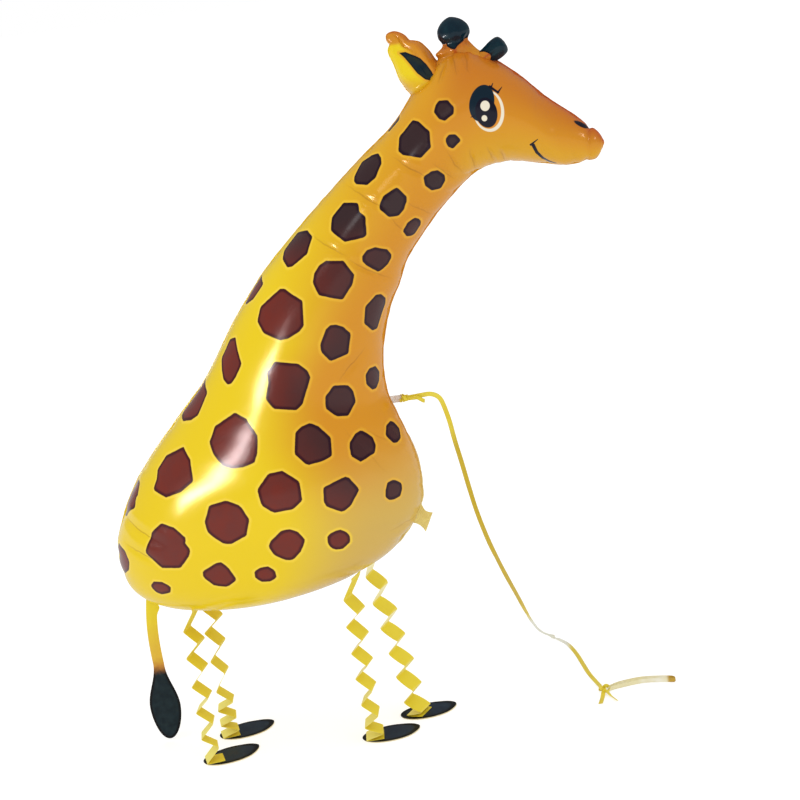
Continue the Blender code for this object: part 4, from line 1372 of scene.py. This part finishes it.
def make_horn(plan, finish):
    """One horn: a flared stalk that gathers under a rounded knob."""
    profile = np.array(plan["profile"]) / 1000
    padded = np.vstack([2 * profile[0] - profile[1], profile, (profile[-1][0] + 0.0004, 0)])
    padded = np.vstack([padded, padded[-1] + (0.0001, -0.002)])
    at = np.linspace(0, len(profile), HORN_RINGS + 1)
    reach, radius = smooth_rows(padded, at).T
    radius = np.maximum(radius, 0)
    radius[0] = radius[-1] = 0
    foot, knob = np.array(plan["foot"]), np.array(plan["knob"])
    along = (knob - foot) / np.linalg.norm(knob - foot)
    over = np.array((along[1], -along[0]))
    angle = 2 * np.pi * np.arange(HORN_SIDES) / HORN_SIDES
    low, high = plan["flatness"]
    flat = low + (high - low) * ease(reach, 0.002, 0.012)
    gather = hill(reach, *HORN_GATHER)[:, None]
    pleat = np.cos(7 * angle + 0.6 * np.sin(2 * angle)) * 0.6 + np.cos(11 * angle + 1.0) * 0.4
    lump = 0.035 * np.cos(3 * angle + 0.7) + 0.02 * np.cos(5 * angle)
    wide = radius[:, None] * (1 + plan["pleats"] * gather * pleat + lump)
    level = hill(reach, *HORN_SHOULDER)[:, None]
    wide = wide + plan["shoulder"] * level * ease(-np.cos(angle), 0.3, 0.9)
    points = np.empty((HORN_RINGS + 1, HORN_SIDES, 3))
    for axis, column in ((0, 0), (2, 1)):
        line = foot[column] + along[column] * reach
        points[..., axis] = line[:, None] + over[column] * wide * np.cos(angle)
    points[..., 1] = wide * flat[:, None] * -np.sin(angle)
    horn, ring, side = shaped_sphere(plan["name"], points)
    pointed = 2 * np.abs(np.cos(angle)) - 1 if plan["sag"] > 0 else np.cos(2 * angle)
    edge = plan["dark_from"] + plan["sag"] * pointed + 0.5 * np.cos(5 * angle + 0.4)
    past = reach[:, None] - edge / 1000
    # Painted shade: deeper brown where the film gathers into pleats under the knob and along a
    # wrinkle down each flank near the root, over a printed base
    flank_wrinkle_shade = hill(np.cos(angle), 0, 0.10) * ease(-reach, -0.0125, -0.0085)[:, None]
    deep = np.clip(0.25 + 0.5 * gather + 0.7 * flank_wrinkle_shade, 0, 1)
    write_layer(horn, "knob", past[ring, side])
    write_layer(horn, "deep", deep[ring, side])
    outward()
    return settled(horn, finish, FOIL)


def make_filler_tab(look):
    """The plain flared tab on the chest that the bag is filled through."""
    root = np.array((FILLER_AT[0] * SHARE, OUTLINE_BASE + FILLER_AT[1] * SHARE))
    along = np.array((math.cos(FILLER_LEAN), math.sin(FILLER_LEAN)))
    over = np.array((along[1], -along[0]))
    reach = np.linspace(-FILLER_SINK, FILLER_LENGTH, FILLER_ROWS + 1)[:, None]
    side = np.linspace(-1, 1, FILLER_COLUMNS + 1)[None, :]
    width = np.interp(reach, FILLER_PLACES, FILLER_WIDTHS) / 2
    skew = FILLER_SKEW * ease(reach, 0, FILLER_LENGTH) * side
    points = np.empty((FILLER_ROWS + 1, FILLER_COLUMNS + 1, 3))
    for axis, column in ((0, 0), (2, 1)):
        line = root[column] + along[column] * (reach + skew)
        points[..., axis] = line + over[column] * width * side
    loose = ease(reach, -0.002, FILLER_LENGTH)
    wave = 0.0016 * np.sin(2.3 * side + 0.6) + 0.0006 * np.sin(7.5 * side + 140 * reach)
    points[..., 1] = wave * loose
    tab, _, _ = shaped_grid("filler_tab_film", points)
    thickened(tab, FILLER_WALL)
    return settled(tab, tab_film(look), FOIL)


def make_seam(look, name, loft, colours, finish):
    """The narrow welded edge that stands out along a bag's outline."""
    middle = loft.points.shape[1] // 2
    line = np.vstack([loft.points[:, 0], loft.points[-2:0:-1, middle]])
    layers = [np.concatenate([layer[:, 0], layer[-2:0:-1, middle]]) for layer in colours]
    way = np.roll(line, -1, axis=0) - np.roll(line, 1, axis=0)
    out = np.stack([way[:, 2], np.zeros(len(way)), -way[:, 0]], axis=1)
    out /= np.linalg.norm(out, axis=1, keepdims=True)
    line, out, *layers = (np.concatenate([part, part[:1]]) for part in (line, out, *layers))
    run = run_of(line)
    scallop = 1 + 0.16 * ripple(run, 0.0075, 71) + 0.08 * ripple(run, 0.003, 72)
    stations = np.array(SEAM_STATIONS)
    reach = stations[None, :] * look.seam_width * np.where(stations > 0, scallop[:, None], 1.0)
    points = line[:, None] + out[:, None] * reach[..., None]
    ruffle = 0.0004 * ripple(run, 0.0052, 73) + 0.0002 * ripple(run, 0.0026, 74)
    points[..., 1] = ruffle[:, None] * ease(stations, -0.5, 1.0)
    points[-1] = points[0]
    seam, row, _ = shaped_grid(name, points)
    for layer, values in zip(("warm", "deep", "tan"), layers):
        write_layer(seam, layer, values[row])
    welded()
    thickened(seam, SEAM_WALL)
    return settled(seam, finish, FOIL)


def folded_path(top_z, foot_z, drops):
    """Side view of a folded strip with small round folds, as rows.

    Each row holds its swing, its share of the way down, its height, the distance to the nearest
    fold, its facet and its share of that facet.
    """
    drop = top_z - foot_z
    facets = len(drops)
    levels = np.concatenate([[0], np.cumsum(drops)]) / np.sum(drops)
    steps = np.diff(levels) * drop
    steps = (np.append(steps[0], steps) + np.append(steps, steps[-1])) / 2
    reach = np.sqrt(np.maximum(FACET_LENGTH**2 - steps**2, 0)) / 2
    reach[0] = reach[1:-1].mean()
    side = np.where(np.arange(facets + 1) % 2 == 0, 1, -1)
    corners = np.stack([side * reach, levels, top_z - levels * drop], axis=1)
    root, toe = corners[0] + (0, 0, LEG_ROOT), corners[-1] + (FACET_LENGTH, 0, 0)
    corners = np.vstack([root, corners, toe])
    rows = []
    for k, (a, b) in enumerate(zip(corners, corners[1:])):
        length = math.hypot(b[0] - a[0], b[2] - a[2])
        for share in np.linspace(0, 1, FACET_ROWS + 1)[:-1]:
            at = FOLD_ROUND / length + share * (1 - 2 * FOLD_ROUND / length)
            rows.append((*(a + (b - a) * at), min(at, 1 - at) * length, k, at))
        last = 1 - FOLD_ROUND / length
        rows.append((*(a + (b - a) * last), FOLD_ROUND, k, last))
        if k < len(corners) - 2:
            after = corners[k + 2]
            next_length = math.hypot(after[0] - b[0], after[2] - b[2])
            first = b + (after - b) * FOLD_ROUND / next_length
            bend = (a + (b - a) * last + first) / 4 + b / 2
            rows.append((*bend, 0.0, k + 0.5, 1.0))
    return np.array(rows)


def make_leg(name, plan, tree, look, finish):
    """One leg: a paper strip folded to and fro from the belly to its flat end on the hoof."""
    top, foot = on_plan(plan["top"]), on_plan(plan["foot"])
    rows = folded_path(belly_height(tree, top), LEG_FOOT, plan["drops"])
    facets = len(plan["drops"])
    random = np.random.default_rng(len(name) * 7 + facets)
    turns = random.normal(0, FOLD_TURN, facets + 3)
    tilts = random.normal(0, FOLD_TILT, facets + 3)
    side = np.linspace(-1, 1, LEG_COLUMNS + 1)
    points = np.empty((len(rows), LEG_COLUMNS + 1, 3))
    for i, (swing, level, height, _, facet, share) in enumerate(rows):
        nearest = int(round(facet + (share - 0.5)))
        turn = (plan["headings"][1] - plan["headings"][0]) * max(level, 0) ** plan["turn"]
        free = ease(level, 0.0, 0.12) * ease(-level, -1.0, -0.9)
        heading = math.radians(plan["headings"][0] + turn + turns[nearest] * free)
        along = np.array((math.cos(heading), math.sin(heading), 0))
        across = np.array((-along[1], along[0], 0))
        rounding = plan.get("round", 0.03) * (1 - math.sin(math.pi * np.clip(share, 0, 1))) ** 1.5
        half = plan["width"] / 2 * (1 - rounding)
        middle = np.array(top.lerp(foot, level)) + along * swing
        points[i] = middle + across * (side * half)[:, None]
        points[i, :, 2] = height + tilts[nearest] * side * free - 0.0003 * side**2 * free
    points[..., 2] = np.maximum(points[..., 2], LEG_LOWEST)
    leg, row, _ = shaped_grid(f"paper_leg_{name}", points)
    write_layer(leg, "fold", rows[row, 3])
    front = len(leg.data.vertices)
    thickened(leg, look.strip_thickness)
    # Painted highlight: the faces to paint pale, one face of the strip or every other facet
    painted_lit_faces = np.arange(len(leg.data.vertices)) < front
    if plan.get("painted_lit_facets"):
        painted_lit_faces = np.tile(np.rint(rows[row, 4]) % 2 == 1, 2)
    write_layer(leg, "painted_lit_faces", painted_lit_faces)
    return settled(leg, finish, PAPER, f"leg_{name}", smooth=40)


def hoof_piece(name, plan, make, finish, *node):
    """An oval card with a slightly pointed toe, its rim marked for the print."""
    thickness, base, shift, grow = make
    card = added(
        bpy.ops.mesh.primitive_circle_add, name, vertices=HOOF_SIDES, radius=1, fill_type="NGON"
    )
    bpy.ops.object.mode_set(mode="EDIT")
    bpy.ops.mesh.select_all(action="SELECT")
    for step in HOOF_INSETS:
        bpy.ops.mesh.inset(thickness=step, depth=0)
    bpy.ops.object.mode_set(mode="OBJECT")
    x, y, _ = points_of(card).T
    radius = np.hypot(x, y)
    toe = np.where(x > 0, HOOF_POINT, 1.0)
    over = np.sign(y) * radius * np.abs(y / np.maximum(radius, 1e-9)) ** toe
    ahead, aside = x * (HOOF_LENGTH / 2 + grow), over * (HOOF_WIDTH / 2 + grow)
    heading = math.radians(plan["hoof_heading"])
    along = np.array((math.cos(heading), math.sin(heading)))
    centre = np.array(on_plan(plan["foot"]))[:2] + along * plan["hoof_reach"] * SHARE + shift
    lift = base + thickness / 2 + 0.0009 * ease(x, 0.45, 1.0) + 0.0003 * ease(-x, 0.5, 1.0)
    points = np.stack(
        [
            centre[0] + ahead * along[0] - aside * along[1],
            centre[1] + ahead * along[1] + aside * along[0],
            lift,
        ],
        axis=1,
    )
    write_layer(card, "rim", radius)
    move_points(card, points)
    thickened(card, thickness, HOOF_BEVEL)
    return settled(card, finish, CARD, *node, smooth=40)


def tail_half_width(rise):
    """Half the tail's width at heights above its tip."""
    strip = TAIL_STRIP / 2
    share = 1 - rise / TAIL_TIP_LENGTH
    swell = (1 - np.cos(np.pi * np.clip(share / TAIL_TIP_WIDEST, 0, 1))) / 2
    fall = np.clip((share - TAIL_TIP_WIDEST) / (1 - TAIL_TIP_WIDEST), 0, 1)
    rounded = TAIL_TIP / 2 * np.sqrt(1 - fall**TAIL_TIP_FULLNESS)
    return np.where(share < TAIL_TIP_WIDEST, strip + (TAIL_TIP / 2 - strip) * swell, rounded)


def make_tail(tree, finish):
    """The tail: a flat strip that hangs from the rump and widens to a drop."""
    at = on_plan(TAIL_AT)
    length = belly_height(tree, at) + TAIL_SINK - TAIL_CLEARANCE
    share = 1 - np.cos(np.linspace(0.02, np.pi / 2, TAIL_ROWS + 1))
    rise = length * share
    bow = np.where(share > 0.5, TAIL_BOW * np.sin(np.pi * (2 * share - 1)), 0)
    middle = at.x + TAIL_SWAY * share**3 - bow
    half = tail_half_width(rise)
    side = np.linspace(-1, 1, TAIL_COLUMNS + 1)[None, :]
    height, reach, size = TAIL_KNUCKLE
    knuckle = size * hill(rise + TAIL_CLEARANCE, height, reach)
    points = np.empty((TAIL_ROWS + 1, TAIL_COLUMNS + 1, 3))
    points[..., 0] = middle[:, None] + side * half[:, None] + (side > 0) * side * knuckle[:, None]
    points[..., 1] = (
        0.0013 * np.sin(5.0 * share)[:, None] * (1 - share)[:, None]
        + 0.0009 * side**2 * ease(rise, 0.0, 0.02)[:, None]
    )
    points[..., 2] = (TAIL_CLEARANCE + rise)[:, None]
    tail, row, column = shaped_grid("paper_tail", points)
    border = np.vstack([points[:, 0], points[::-1, -1]])[:, [0, 2]]
    flat = points[..., [0, 2]].reshape(-1, 2)
    edge = -outline_distance(flat, border[::3]).reshape(points.shape[:2])
    write_layer(tail, "edge", np.maximum(edge, 0)[row, column])
    write_layer(tail, "rise", rise[row])
    thickened(tail, TAIL_WALL)
    return settled(tail, finish, PAPER, "tail", smooth=50)


def evenly(route, count):
    """Points evenly spaced along the smooth curve through a route."""
    route = np.array(route)
    padded = np.vstack([2 * route[0] - route[1], route, 2 * route[-1] - route[-2]])
    spans = len(route) - 1
    fine = smooth_rows(padded, np.linspace(0, spans, FINE_STEPS * spans + 1))
    run = run_of(fine)
    at = np.linspace(0, run[-1], count)
    return np.stack([np.interp(at, run, fine[:, k]) for k in range(3)], axis=1), at


def band(name, path, hints, width, thickness, closed=False, cup=0.0):
    """A flat ribbon along a path, its width turned towards the hints, or towards one for all."""
    hints = np.broadcast_to(hints, path.shape)
    along = np.gradient(path, axis=0)
    if closed:
        along[0] = along[-1] = path[1] - path[-2]
    along /= np.linalg.norm(along, axis=1, keepdims=True)
    over = hints - along * np.sum(hints * along, axis=1, keepdims=True)
    over /= np.linalg.norm(over, axis=1, keepdims=True)
    out = np.cross(along, over)
    side = np.linspace(-1, 1, BAND_COLUMNS + 1)
    width = np.broadcast_to(width, len(path))
    points = path[:, None] + over[:, None] * (side[None, :] * width[:, None] / 2)[..., None]
    points = points + out[:, None] * (cup * (side**2 - 0.4))[None, :, None]
    points[..., 2] = np.maximum(points[..., 2], thickness)
    made, row, column = shaped_grid(name, points)
    write_layer(made, "across", side[column])
    write_layer(made, "along", run_of(path)[row] * 30)
    if closed:
        welded()
    thickened(made, thickness)
    return made


def knot_path(centre, radius, flatness, count):
    """Once round an overhand knot."""
    turn = np.linspace(0, 2 * np.pi, count)
    x = (np.sin(turn) + 2 * np.sin(2 * turn)) / 3
    y = (np.cos(turn) - 2 * np.cos(2 * turn)) / 3
    z = -np.sin(3 * turn) * flatness
    return np.array(centre) + radius * np.stack([x, y, z], axis=1)


def joined(name, parts):
    """Several meshes joined into one piece."""
    bpy.ops.object.select_all(action="DESELECT")
    for part in parts:
        part.select_set(True)
    bpy.context.view_layer.objects.active = parts[0]
    bpy.ops.object.join()
    made = bpy.context.object
    made.name = made.data.name = name
    return made


def loop_route():
    """The hand loop: out from the knot, round its tip and back, standing on its edge."""
    knot, tip = np.array(KNOT_AT), np.array(LOOP_TIP)
    reach = np.linalg.norm(tip - knot)
    along = (tip - knot) / reach
    over = np.array((-along[1], along[0]))
    side = LOOP_SPACING / 2
    turn = reach - side
    stations = (
        (0.0045, side * 0.45), (reach * 0.25, side), (reach * 0.55, side),
        (reach * 0.80, side), (turn, side), (turn + side * 0.7, side * 0.7),
    )
    back = [(share, -offset) for share, offset in reversed(stations)]
    route = []
    for share, offset in (*stations, (reach, 0.0), *back):
        bow = LOOP_BOW * math.sin(math.pi * share / reach)
        route.append((*(knot + along * share + over * (offset + bow)), LOOP_HEIGHT))
    return route


def make_film_tab():
    """The small tab on the neck's front seam that the ribbon is tied to."""
    seam = np.array((TAB_AT[0] * SHARE, OUTLINE_BASE + TAB_AT[1] * SHARE))
    side = np.linspace(-1, 1, TAB_ROWS + 1)[:, None]
    reach = np.linspace(TAB_FROM, TAB_TO, TAB_COLUMNS + 1)[None, :]
    half = TAB_HALF_WIDTH * np.sqrt(1 - 0.55 * ease(reach, TAB_ROUND_FROM, TAB_TO) ** 2)
    points = np.empty((TAB_ROWS + 1, TAB_COLUMNS + 1, 3))
    points[..., 0] = seam[0] + reach
    points[..., 1] = 0.0004 * np.sin(600 * reach + 1.5 * side) * ease(reach, 0.0, 0.004)
    points[..., 2] = seam[1] + side * half
    tab, _, _ = shaped_grid("film_tab", points)
    thickened(tab, TAB_WALL)
    settled(tab, clear_film(), FILM, "leash_tab")


def ribbon_hints(path, at):
    """Which way the ribbon's width points along its path: level where it lies on the floor."""
    stations = np.array([share for share, _ in RIBBON_TWIST])
    hints = np.array([hint for _, hint in RIBBON_TWIST])
    share = at / at[-1]
    twist = np.stack([np.interp(share, stations, hints[:, k]) for k in range(3)], axis=1)
    curl = ripple(at, 0.035, 5)[:, None] * np.array((0.0, 0.35, 0.15))
    curl = curl * ease(share, 0.1, 0.2)[:, None] * ease(-share, -0.75, -0.65)[:, None]
    way = np.gradient(path, axis=0)
    level = np.stack([-way[:, 1], way[:, 0], np.zeros(len(way))], axis=1)
    level /= np.linalg.norm(level, axis=1, keepdims=True)
    floor_share = ease(share, 0.70, 0.76)[:, None]
    return (twist + curl) * (1 - floor_share) - level * floor_share


def make_knot(width, finish):
    """The overhand knot with its two loose ends."""
    ring = knot_path((*KNOT_AT, KNOT_HEIGHT), KNOT_RADIUS, 0.42, RING_POINTS)
    parts = [band("knot_ring", ring, (0.15, 0.1, 1.0), 0.0040, 0.0005, closed=True)]
    share = np.linspace(0, 1, END_POINTS)[:, None]
    for i, (degrees, length) in enumerate(KNOT_ENDS):
        heading = math.radians(degrees)
        way = np.array((math.cos(heading), math.sin(heading), 0))
        path = np.array((*KNOT_AT, 0)) + way * (0.003 + share * length)
        path[:, 2] = (0.0034 - 0.0024 * ease(share[:, 0], 0, 0.5)) + 0.0006 * i
        hint = (-way[1], way[0], 0.12 - 0.5 * i)
        wide = width * (0.96 - 0.5 * i * ease(share[:, 0], 0.1, 0.8))
        parts.append(band(f"knot_end_{i}", path, hint, wide, RIBBON_WALL))
    return settled(joined("ribbon_knot", parts), finish, RIBBON, "leash_knot")


def make_loop(width, finish):
    """The hand loop."""
    path, _ = evenly(loop_route(), LOOP_POINTS)
    loop = band("ribbon_loop", path, (0.0, 0.0, 1.0), width * 0.94, RIBBON_WALL, cup=0.0002)
    return settled(loop, finish, RIBBON, "leash_loop")


def make_tie(finish):
    """The ribbon's turns round the film tab, with their spare end."""
    ring = knot_path(TIE_AT, TIE_RADIUS, 0.9, TIE_POINTS)[:, [1, 0, 2]]
    ring = ring - ring.mean(axis=0) + np.array(TIE_AT)
    parts = [band("tie_ring", ring, (1.0, 0.2, 0.1), 0.0034, 0.0004, closed=True)]
    share = np.linspace(0, 1, END_POINTS)[:, None]
    spare = np.array((0.0505, -0.0012, 0.3650)) + share * np.array((0.0215, -0.0010, 0.0006))
    spare[:, 2] -= 0.0045 * ease(share[:, 0], 0.6, 1.0)
    parts.append(band("tie_end", spare, (0.1, 0.5, 1.0), 0.0042, RIBBON_WALL))
    return settled(joined("ribbon_tie", parts), finish, RIBBON)


def make_leash(look):
    make_film_tab()
    strong = ribbon_film("leash_ribbon_film", look.ribbon, look.ribbon_pale, 14.0)
    # The hand loop's cream is a painted highlight over the ribbon's yellow
    cream = ribbon_film("leash_loop_sheen_film", look.loop, look.loop_sheen, 30.0)
    path, at = evenly(RIBBON_ROUTE, RIBBON_POINTS)
    width, hints = look.ribbon_width, ribbon_hints(path, at)
    ribbon = band("ribbon_leash", path, hints, width, look.ribbon_thickness, cup=0.0003)
    settled(ribbon, strong, RIBBON, "leash_ribbon")
    knot, loop, tie = make_knot(width, strong), make_loop(width, cream), make_tie(strong)


def make_stage(look):
    """Pale floor, soft lights, white surroundings and the camera."""
    scene = bpy.context.scene
    floor = added(
        bpy.ops.mesh.primitive_grid_add, "studio_floor", x_subdivisions=8, y_subdivisions=8,
        size=FLOOR_SIZE,
    )
    floor.data.materials.append(floor_finish(look.floor))
    world = bpy.data.worlds.new("white_surroundings")
    world.use_nodes = True
    nodes = Nodes(world.node_tree)
    white = world.node_tree.nodes["Background"]
    white.inputs["Color"].default_value = (1, 1, 1, 1)
    white.inputs["Strength"].default_value = look.surroundings
    dim = nodes.add("ShaderNodeBackground", {"Color": (1, 1, 1, 1), "Strength": look.reflected})
    glossy = nodes.add("ShaderNodeLightPath").outputs["Is Glossy Ray"]
    both = nodes.add("ShaderNodeMixShader", {0: glossy, 1: white.outputs[0], 2: dim.outputs[0]})
    nodes.feed(world.node_tree.nodes["World Output"].inputs["Surface"], both.outputs[0])
    scene.world = world
    for name, target, *measures, part in LIGHTS:
        azimuth, elevation, roll, distance, width, height, spread, power = measures
        away = direction(math.radians(azimuth), math.radians(elevation))
        bpy.ops.object.select_all(action="DESELECT")
        bpy.ops.object.light_add(type="AREA", location=Vector(target) + away * distance)
        light = bpy.context.object
        light.name = light.data.name = name
        light.data.shape = "RECTANGLE"
        light.data.size, light.data.size_y = width, height
        light.data.spread = math.radians(spread)
        light.data.energy = power * look.light_share
        aim = away.to_track_quat("Z", "Y") @ Quaternion((0, 0, 1), math.radians(roll))
        light.rotation_euler = aim.to_euler()
        light.visible_camera = False
        light.visible_diffuse = part == "matt"
        light.visible_glossy = part == "gloss"

    back = direction(CAMERA_AZIMUTH, CAMERA_ELEVATION)
    right = Vector((math.cos(CAMERA_AZIMUTH), math.sin(CAMERA_AZIMUTH), 0))
    up = back.cross(right)
    cosine, sine = math.cos(CAMERA_ROLL), math.sin(CAMERA_ROLL)
    axes = (right * cosine - up * sine, right * sine + up * cosine, back)
    bpy.ops.object.camera_add(location=CAMERA_TARGET + back * CAMERA_DISTANCE)
    camera = bpy.context.object
    camera.name = camera.data.name = "photograph_view"
    camera.data.lens = CAMERA_LENS
    camera.data.sensor_width = 36
    camera.rotation_euler = Matrix(axes).transposed().to_euler()
    scene.camera = camera
    scene.view_settings.view_transform = "Standard"


def colour(name, text, value):
    """A colour that a user can change."""
    return bpy.props.FloatVectorProperty(
        name=name, description=text, subtype="COLOR", size=4, min=0, max=1, default=value
    )


def number(name, text, value, low, high, unit="NONE"):
    """A number that a user can change."""
    return bpy.props.FloatProperty(
        name=name, description=text, default=value, min=low, max=high, unit=unit, precision=4
    )


class FoilLook(bpy.types.PropertyGroup):
    yellow: colour("Yellow", "Printed ground of the belly and back", ink(241, 212, 26))
    orange: colour("Orange", "Printed ground of the throat and head", ink(219, 150, 34))
    halo: colour("Halo", "Bright line round each spot", ink(252, 222, 70))
    spot: colour("Spot", "Brown of the spots on the yellow ground", ink(120, 44, 34))
    spot_dark: colour("Dark spot", "Brown of the spots on the orange ground", ink(56, 38, 42))
    spot_rim: colour("Spot rim", "Dark line inside each spot's edge", ink(66, 12, 26))
    roughness: number("Roughness", "How matt the film is", 0.19, 0.05, 0.9)
    crinkle: number("Crinkle", "Strength of the film's fine dents", 0.05, 0.0, 1.0)
    wrinkles: number(
        "Wrinkles", "Depth of the puckers and creases, 1 as on the real one", 1.0, 0.0, 3.0
    )
    seam_width: number("Seam", "How far the welded edge stands out", 0.0010, 0.0, 0.006, "LENGTH")


class PaperLook(bpy.types.PropertyGroup):
    paper: colour("Paper", "Yellow of the strips", ink(236, 214, 44))
    # Pale paper: painted highlight on the faces that catch the light
    paper_painted_lit: colour("Pale paper", "Back of the strips' paper", ink(250, 244, 196))
    slate: colour("Slate", "Dark print of the hooves", ink(16, 32, 54))
    strip_thickness: number("Strip", "Thickness of the paper", 0.00035, 0.0001, 0.002, "LENGTH")


class LeashLook(bpy.types.PropertyGroup):
    ribbon: colour("Ribbon", "Yellow of the leash", ink(232, 206, 36))
    ribbon_pale: colour("Pale ribbon", "Leash where light comes through", ink(240, 222, 70))
    # Loop colours: cream, a painted highlight over the ribbon's yellow
    loop: colour("Loop", "Yellow of the hand loop's turn", ink(238, 228, 180))
    loop_sheen: colour("Pale loop", "Cream of the hand loop", ink(248, 244, 224))
    ribbon_width: number("Width", "Width of the ribbon", 0.005, 0.002, 0.02, "LENGTH")
    ribbon_thickness: number(
        "Thickness", "Thickness of the ribbon", 0.0003, 0.0001, 0.002, "LENGTH"
    )


class StageLook(bpy.types.PropertyGroup):
    floor: colour("Floor", "Shade of the floor", (0.55, 0.55, 0.55, 1.0))
    surroundings: number("Surroundings", "Brightness of the white surroundings", 1.0, 0.0, 5.0)
    reflected: number("Reflected", "Brightness of the surroundings in the gloss", 0.28, 0.0, 5.0)
    light_share: number("Lights", "Brightness of the lights, 1 as planned", 1.0, 0.0, 10.0)


class BALLOON_OT_stage(bpy.types.Operator):
    """Add the floor, the lights and the camera"""

    bl_idname = "balloon.stage"
    bl_label = "Stage"

    def execute(self, context):
        make_stage(context.scene.balloon_stage)
        return {"FINISHED"}


class BALLOON_OT_leash(bpy.types.Operator):
    """Add the leash: its tab, ribbon, knot and hand loop"""

    bl_idname = "balloon.leash"
    bl_label = "Ribbon leash"

    def execute(self, context):
        make_leash(context.scene.balloon_leash)
        return {"FINISHED"}


class BALLOON_OT_body(bpy.types.Operator):
    """Add the inflated body, neck and head"""

    bl_idname = "balloon.body"
    bl_label = "Body"

    def execute(self, context):
        make_body(context.scene.balloon_foil)
        return {"FINISHED"}


class BALLOON_OT_ear(bpy.types.Operator):
    """Add the ear with its dark lining"""

    bl_idname = "balloon.ear"
    bl_label = "Ear"

    def execute(self, context):
        make_ear(context.scene.balloon_foil)
        return {"FINISHED"}


class BALLOON_OT_horns(bpy.types.Operator):
    """Add both horns with their knobs"""

    bl_idname = "balloon.horns"
    bl_label = "Horns"

    def execute(self, context):
        finish = horn_film(context.scene.balloon_foil)
        for plan in HORNS:
            make_horn(plan, finish)
        return {"FINISHED"}


class BALLOON_OT_filler_tab(bpy.types.Operator):
    """Add the filler tab on the chest"""

    bl_idname = "balloon.filler_tab"
    bl_label = "Filler tab"

    def execute(self, context):
        make_filler_tab(context.scene.balloon_foil)
        return {"FINISHED"}


class BALLOON_OT_seams(bpy.types.Operator):
    """Add the welded edges of the body and the ear"""

    bl_idname = "balloon.seams"
    bl_label = "Welded edges"

    def execute(self, context):
        look = context.scene.balloon_foil
        finish = seam_film(look)
        body = body_loft(look.wrinkles)
        make_seam(look, "body_seam", body, print_colours(body), finish)
        ear = ear_loft()
        make_seam(look, "ear_seam", ear, ear_colours(ear), finish)
        return {"FINISHED"}


class BALLOON_OT_legs(bpy.types.Operator):
    """Add the four folded paper legs"""

    bl_idname = "balloon.legs"
    bl_label = "Folded legs"

    def execute(self, context):
        look = context.scene.balloon_paper
        finish = strip_paper(look)
        tree = body_tree(context)
        for name, plan in LEGS.items():
            make_leg(name, plan, tree, look, finish)
        return {"FINISHED"}


class BALLOON_OT_hooves(bpy.types.Operator):
    """Add the four card hooves with their pale backs"""

    bl_idname = "balloon.hooves"
    bl_label = "Hooves"

    def execute(self, context):
        finish = hoof_card(context.scene.balloon_paper)
        backing = backing_card()
        for name, plan in LEGS.items():
            hoof_piece(f"card_hoof_{name}", plan, HOOF_CARD, finish, f"hoof_{name}")
            hoof_piece(f"hoof_back_{name}", plan, HOOF_BACK, backing)
        return {"FINISHED"}


class BALLOON_OT_tail(bpy.types.Operator):
    """Add the hanging tail"""

    bl_idname = "balloon.tail"
    bl_label = "Tail"

    def execute(self, context):
        make_tail(body_tree(context), tail_paper(context.scene.balloon_paper))
        return {"FINISHED"}


def body_tree(context):
    """The body's surface, to find where legs and tail meet it."""
    context.view_layer.update()
    return BVHTree.FromObject(bpy.data.objects["foil_body"], context.evaluated_depsgraph_get())


OPERATORS = (
    BALLOON_OT_stage,
    BALLOON_OT_leash,
    BALLOON_OT_body,
    BALLOON_OT_ear,
    BALLOON_OT_horns,
    BALLOON_OT_filler_tab,
    BALLOON_OT_seams,
    BALLOON_OT_legs,
    BALLOON_OT_hooves,
    BALLOON_OT_tail,
)


class BALLOON_PT_panel(bpy.types.Panel):
    """Sidebar panel with the balloon's looks and the steps that make it"""

    bl_idname = "BALLOON_PT_panel"
    bl_label = "Giraffe foil balloon"
    bl_space_type = "VIEW_3D"
    bl_region_type = "UI"
    bl_category = "Balloon"

    def draw(self, context):
        layout = self.layout
        for name in LOOKS:
            box = layout.box()
            for row in getattr(context.scene, name).bl_rna.properties:
                if row.identifier not in ("rna_type", "name"):
                    box.prop(getattr(context.scene, name), row.identifier)
        for operator in OPERATORS:
            layout.operator(operator.bl_idname)


LOOKS = {
    "balloon_foil": FoilLook,
    "balloon_paper": PaperLook,
    "balloon_leash": LeashLook,
    "balloon_stage": StageLook,
}


def register():
    for group in LOOKS.values():
        bpy.utils.register_class(group)
    for name, group in LOOKS.items():
        setattr(bpy.types.Scene, name, bpy.props.PointerProperty(type=group))
    for operator in OPERATORS:
        bpy.utils.register_class(operator)
    bpy.utils.register_class(BALLOON_PT_panel)


def unregister():
    bpy.utils.unregister_class(BALLOON_PT_panel)
    for operator in reversed(OPERATORS):
        bpy.utils.unregister_class(operator)
    for name, group in reversed(LOOKS.items()):
        delattr(bpy.types.Scene, name)
        bpy.utils.unregister_class(group)


def main():
    """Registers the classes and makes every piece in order."""
    register()
    bpy.ops.balloon.stage()
    bpy.ops.balloon.leash()
    bpy.ops.balloon.body()
    bpy.ops.balloon.ear()
    bpy.ops.balloon.horns()
    bpy.ops.balloon.filler_tab()
    bpy.ops.balloon.seams()
    bpy.ops.balloon.legs()
    bpy.ops.balloon.hooves()
    bpy.ops.balloon.tail()


if __name__ == "__main__":
    main()
